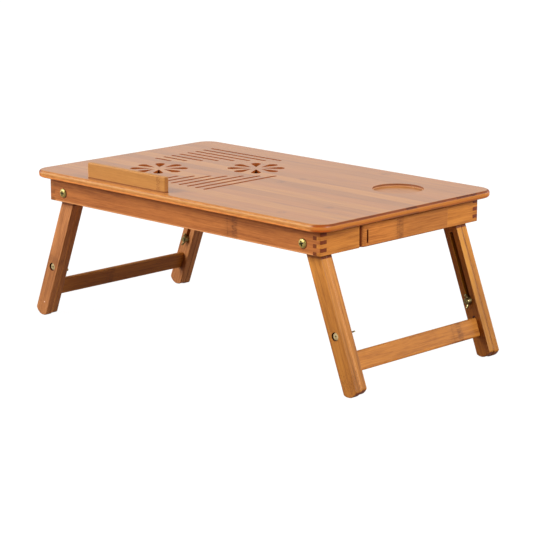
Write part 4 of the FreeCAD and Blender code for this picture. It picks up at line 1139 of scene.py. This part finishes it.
def clamp_bolt(side, end, way):
    """A flat head with a shallow cross that sits in its counterbore, a plain shank and a threaded end."""
    spot = f"{side}_{end}"
    low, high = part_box("clamp_bolt_" + spot)
    rise = 1.4
    shank = (high.y - low.y) / MM - rise
    stations = [(2.5, -shank), (2.9, -shank + 0.4)] + threads(-shank + 0.5, -shank + 13, 3.0, 2.62, 1.0)
    stations += [(3.0, -shank + 13.5), (3.0, 0)]
    stations += [(4.6, 0), (4.75, 0.15), (4.75, 0.4), (4.5, 0.62), (4.0, 0.74), (2.4, 0.8), (0.8, 0.82)]
    bolt = turned(f"clamp_bolt_{spot}_steel", stations, 40)
    cross_recess(bolt, 0.82, 2.6, 1.1, 0.5, DULL_STEEL)
    bolt.data.materials.append(THREAD_STEEL)
    mode("EDIT")
    pick(bolt, "FACE", lambda face: face.calc_center_median().z < -1 * MM)
    bolt.active_material_index = 2
    bpy.ops.object.material_slot_assign()
    mode("OBJECT")
    settle(bolt, 42)
    head_end = high.y if way > 0 else low.y
    centre = middle_of("clamp_bolt_" + spot)
    seat = Vector((centre.x, head_end - rise * MM * way, centre.z))
    bolt.matrix_world = Matrix.Translation(seat) @ facing(end)
    fix_place(bolt)
    dress(bolt, "clamp_bolt_" + spot)


# Screws of a hinge leaf: from one to the next, from its back edge, and how far below its face.
SCREW_STEP = 13.2 * MM
SCREW_INSET = 4.2 * MM
SCREW_SUNK = 0.06 * MM


def hinge_screws():
    """Three countersunk screws in each leaf, and holes that fit their heads."""
    screw = screw_head_pattern()
    for leaf, way in (("frame", 1), ("top", -1)):
        for side in SIDES:
            node = f"hinge_leaf_{leaf}_{side}"
            plate = eased(node, 0.12, long_edges(8), 1, node + "_steel")
            middle = middle_of(node).x
            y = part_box(node)[1].y - SCREW_INSET
            for number in (-1, 0, 1):
                spot = Vector((middle + number * SCREW_STEP, y, DECK))
                place = Matrix.Translation(spot) @ Matrix.Rotation(0 if way > 0 else math.pi, 4, "X")
                hole = turned("hinge_hole", [(1.0, -1.6), (1.15, -0.84), (2.1, 0.05), (2.1, 0.6)], 24)
                hole.matrix_world = place
                fix_place(hole)
                cut_away(plate, hole)
                sunk = place @ Matrix.Translation((0, 0, -SCREW_SUNK))
                head = copy_at(screw, f"hinge_screw_{leaf}_{side}_{number + 2}", sunk)
                dress(head, node, replaces=False)
            settle(plate, 40)
            dress(plate, node, STEEL)
    put_away(screw)
    for side in SIDES:
        finish_node("prop_pin_" + side, STEEL)


# ---------------------------------------------------------------- floor, light and camera


def pale_floor():
    """A wide pale floor, bright to the eye, that throws less light up under the stand."""
    bpy.ops.mesh.primitive_plane_add(size=60)
    floor = bpy.context.object
    floor.name = "pale_floor"
    finish = Finish("pale_floor")
    ray = finish.add("LightPath")
    seen = ray.outputs["Is Camera Ray"]
    mirrored = finish.times(ray.outputs["Is Glossy Ray"], FLOOR_SHINE)
    paint = finish.mix(seen, FLOOR_BOUNCE, (0.86, 0.86, 0.86, 1))
    plain = finish.add("BsdfDiffuse", Color=paint, Roughness=0.5)
    glow = finish.add("Emission", Color=(1, 1, 1, 1), Strength=FLOOR_GLOW)
    blend = finish.add("MixShader")
    finish.feed(blend.inputs[0], finish.math("MULTIPLY_ADD", seen, FLOOR_LIFT, mirrored))
    finish.feed(blend.inputs[1], plain.outputs[0])
    finish.feed(blend.inputs[2], glow.outputs[0])
    finish.links.new(blend.outputs[0], finish.nodes["Material Output"].inputs["Surface"])
    floor.data.materials.append(finish.material)


def sun(name, azimuth, height, strength, spread):
    """A white lamp far away that looks as wide as spread, all angles in degrees."""
    lamp = bpy.data.lights.new(name, "SUN")
    lamp.energy = strength
    lamp.angle = math.radians(spread)
    thing = added(name, lamp)
    thing.rotation_euler = (math.radians(90 - height), 0, math.radians(azimuth))


def studio_light():
    """Two large low lamps on the sides in view, weak ones on the others, and a bright wall at the back."""
    sun("front_lamp", -28, FRONT_HEIGHT, FRONT_STRENGTH, 40)
    sun("right_lamp", 90, RIGHT_HEIGHT, RIGHT_STRENGTH, 25)
    sun("back_fill", 162, FILL_HEIGHT, FILL_STRENGTH, 40)
    sun("left_fill", 288, FILL_HEIGHT, FILL_STRENGTH, 40)
    world = bpy.data.worlds.new("studio_room")
    world.use_nodes = True
    room = Wiring(world.node_tree)
    direction = room.place.outputs["Generated"]
    height = room.parts(direction)[Z]
    behind = room.vector("DOT_PRODUCT", direction, (-math.sin(VIEW_AZIMUTH), math.cos(VIEW_AZIMUTH), 0))
    at_back = room.fade(behind, -0.2, 0.5)
    wall = room.math("MULTIPLY_ADD", at_back, BACK_WALL_GLOW - FRONT_WALL_GLOW, FRONT_WALL_GLOW)
    low_down = room.fade(height, 0.6, 0.35)
    glow = room.math("MULTIPLY_ADD", low_down, room.math("SUBTRACT", wall, CEILING_GLOW), CEILING_GLOW)
    background = room.nodes["Background"]
    room.feed(background.inputs["Color"], room.mix(at_back, FRONT_WALL_COLOUR, BACK_WALL_COLOUR))
    room.feed(background.inputs["Strength"], glow)
    bpy.context.scene.world = world
    bpy.context.scene.view_settings.view_transform = "Standard"


def camera():
    """The camera, aimed at the stand from its place on a sphere about it."""
    lens = bpy.data.cameras.new("camera")
    lens.sensor_width = SENSOR
    lens.lens = LENS
    lens.clip_end = 100
    thing = added("camera", lens)
    level = math.cos(VIEW_HEIGHT)
    away = Vector((math.sin(VIEW_AZIMUTH) * level, -math.cos(VIEW_AZIMUTH) * level, math.sin(VIEW_HEIGHT)))
    thing.location = VIEW_AIM + away * VIEW_DISTANCE
    thing.rotation_euler = away.to_track_quat("Z", "Y").to_euler()
    bpy.context.scene.camera = thing


# ---------------------------------------------------------------- the stand


finish_node("tabletop", top_bamboo())
boards(wood_for_frame() | wood_for_legs() | wood_for_inside())
fasteners()
hinge_screws()

pale_floor()
studio_light()
camera()
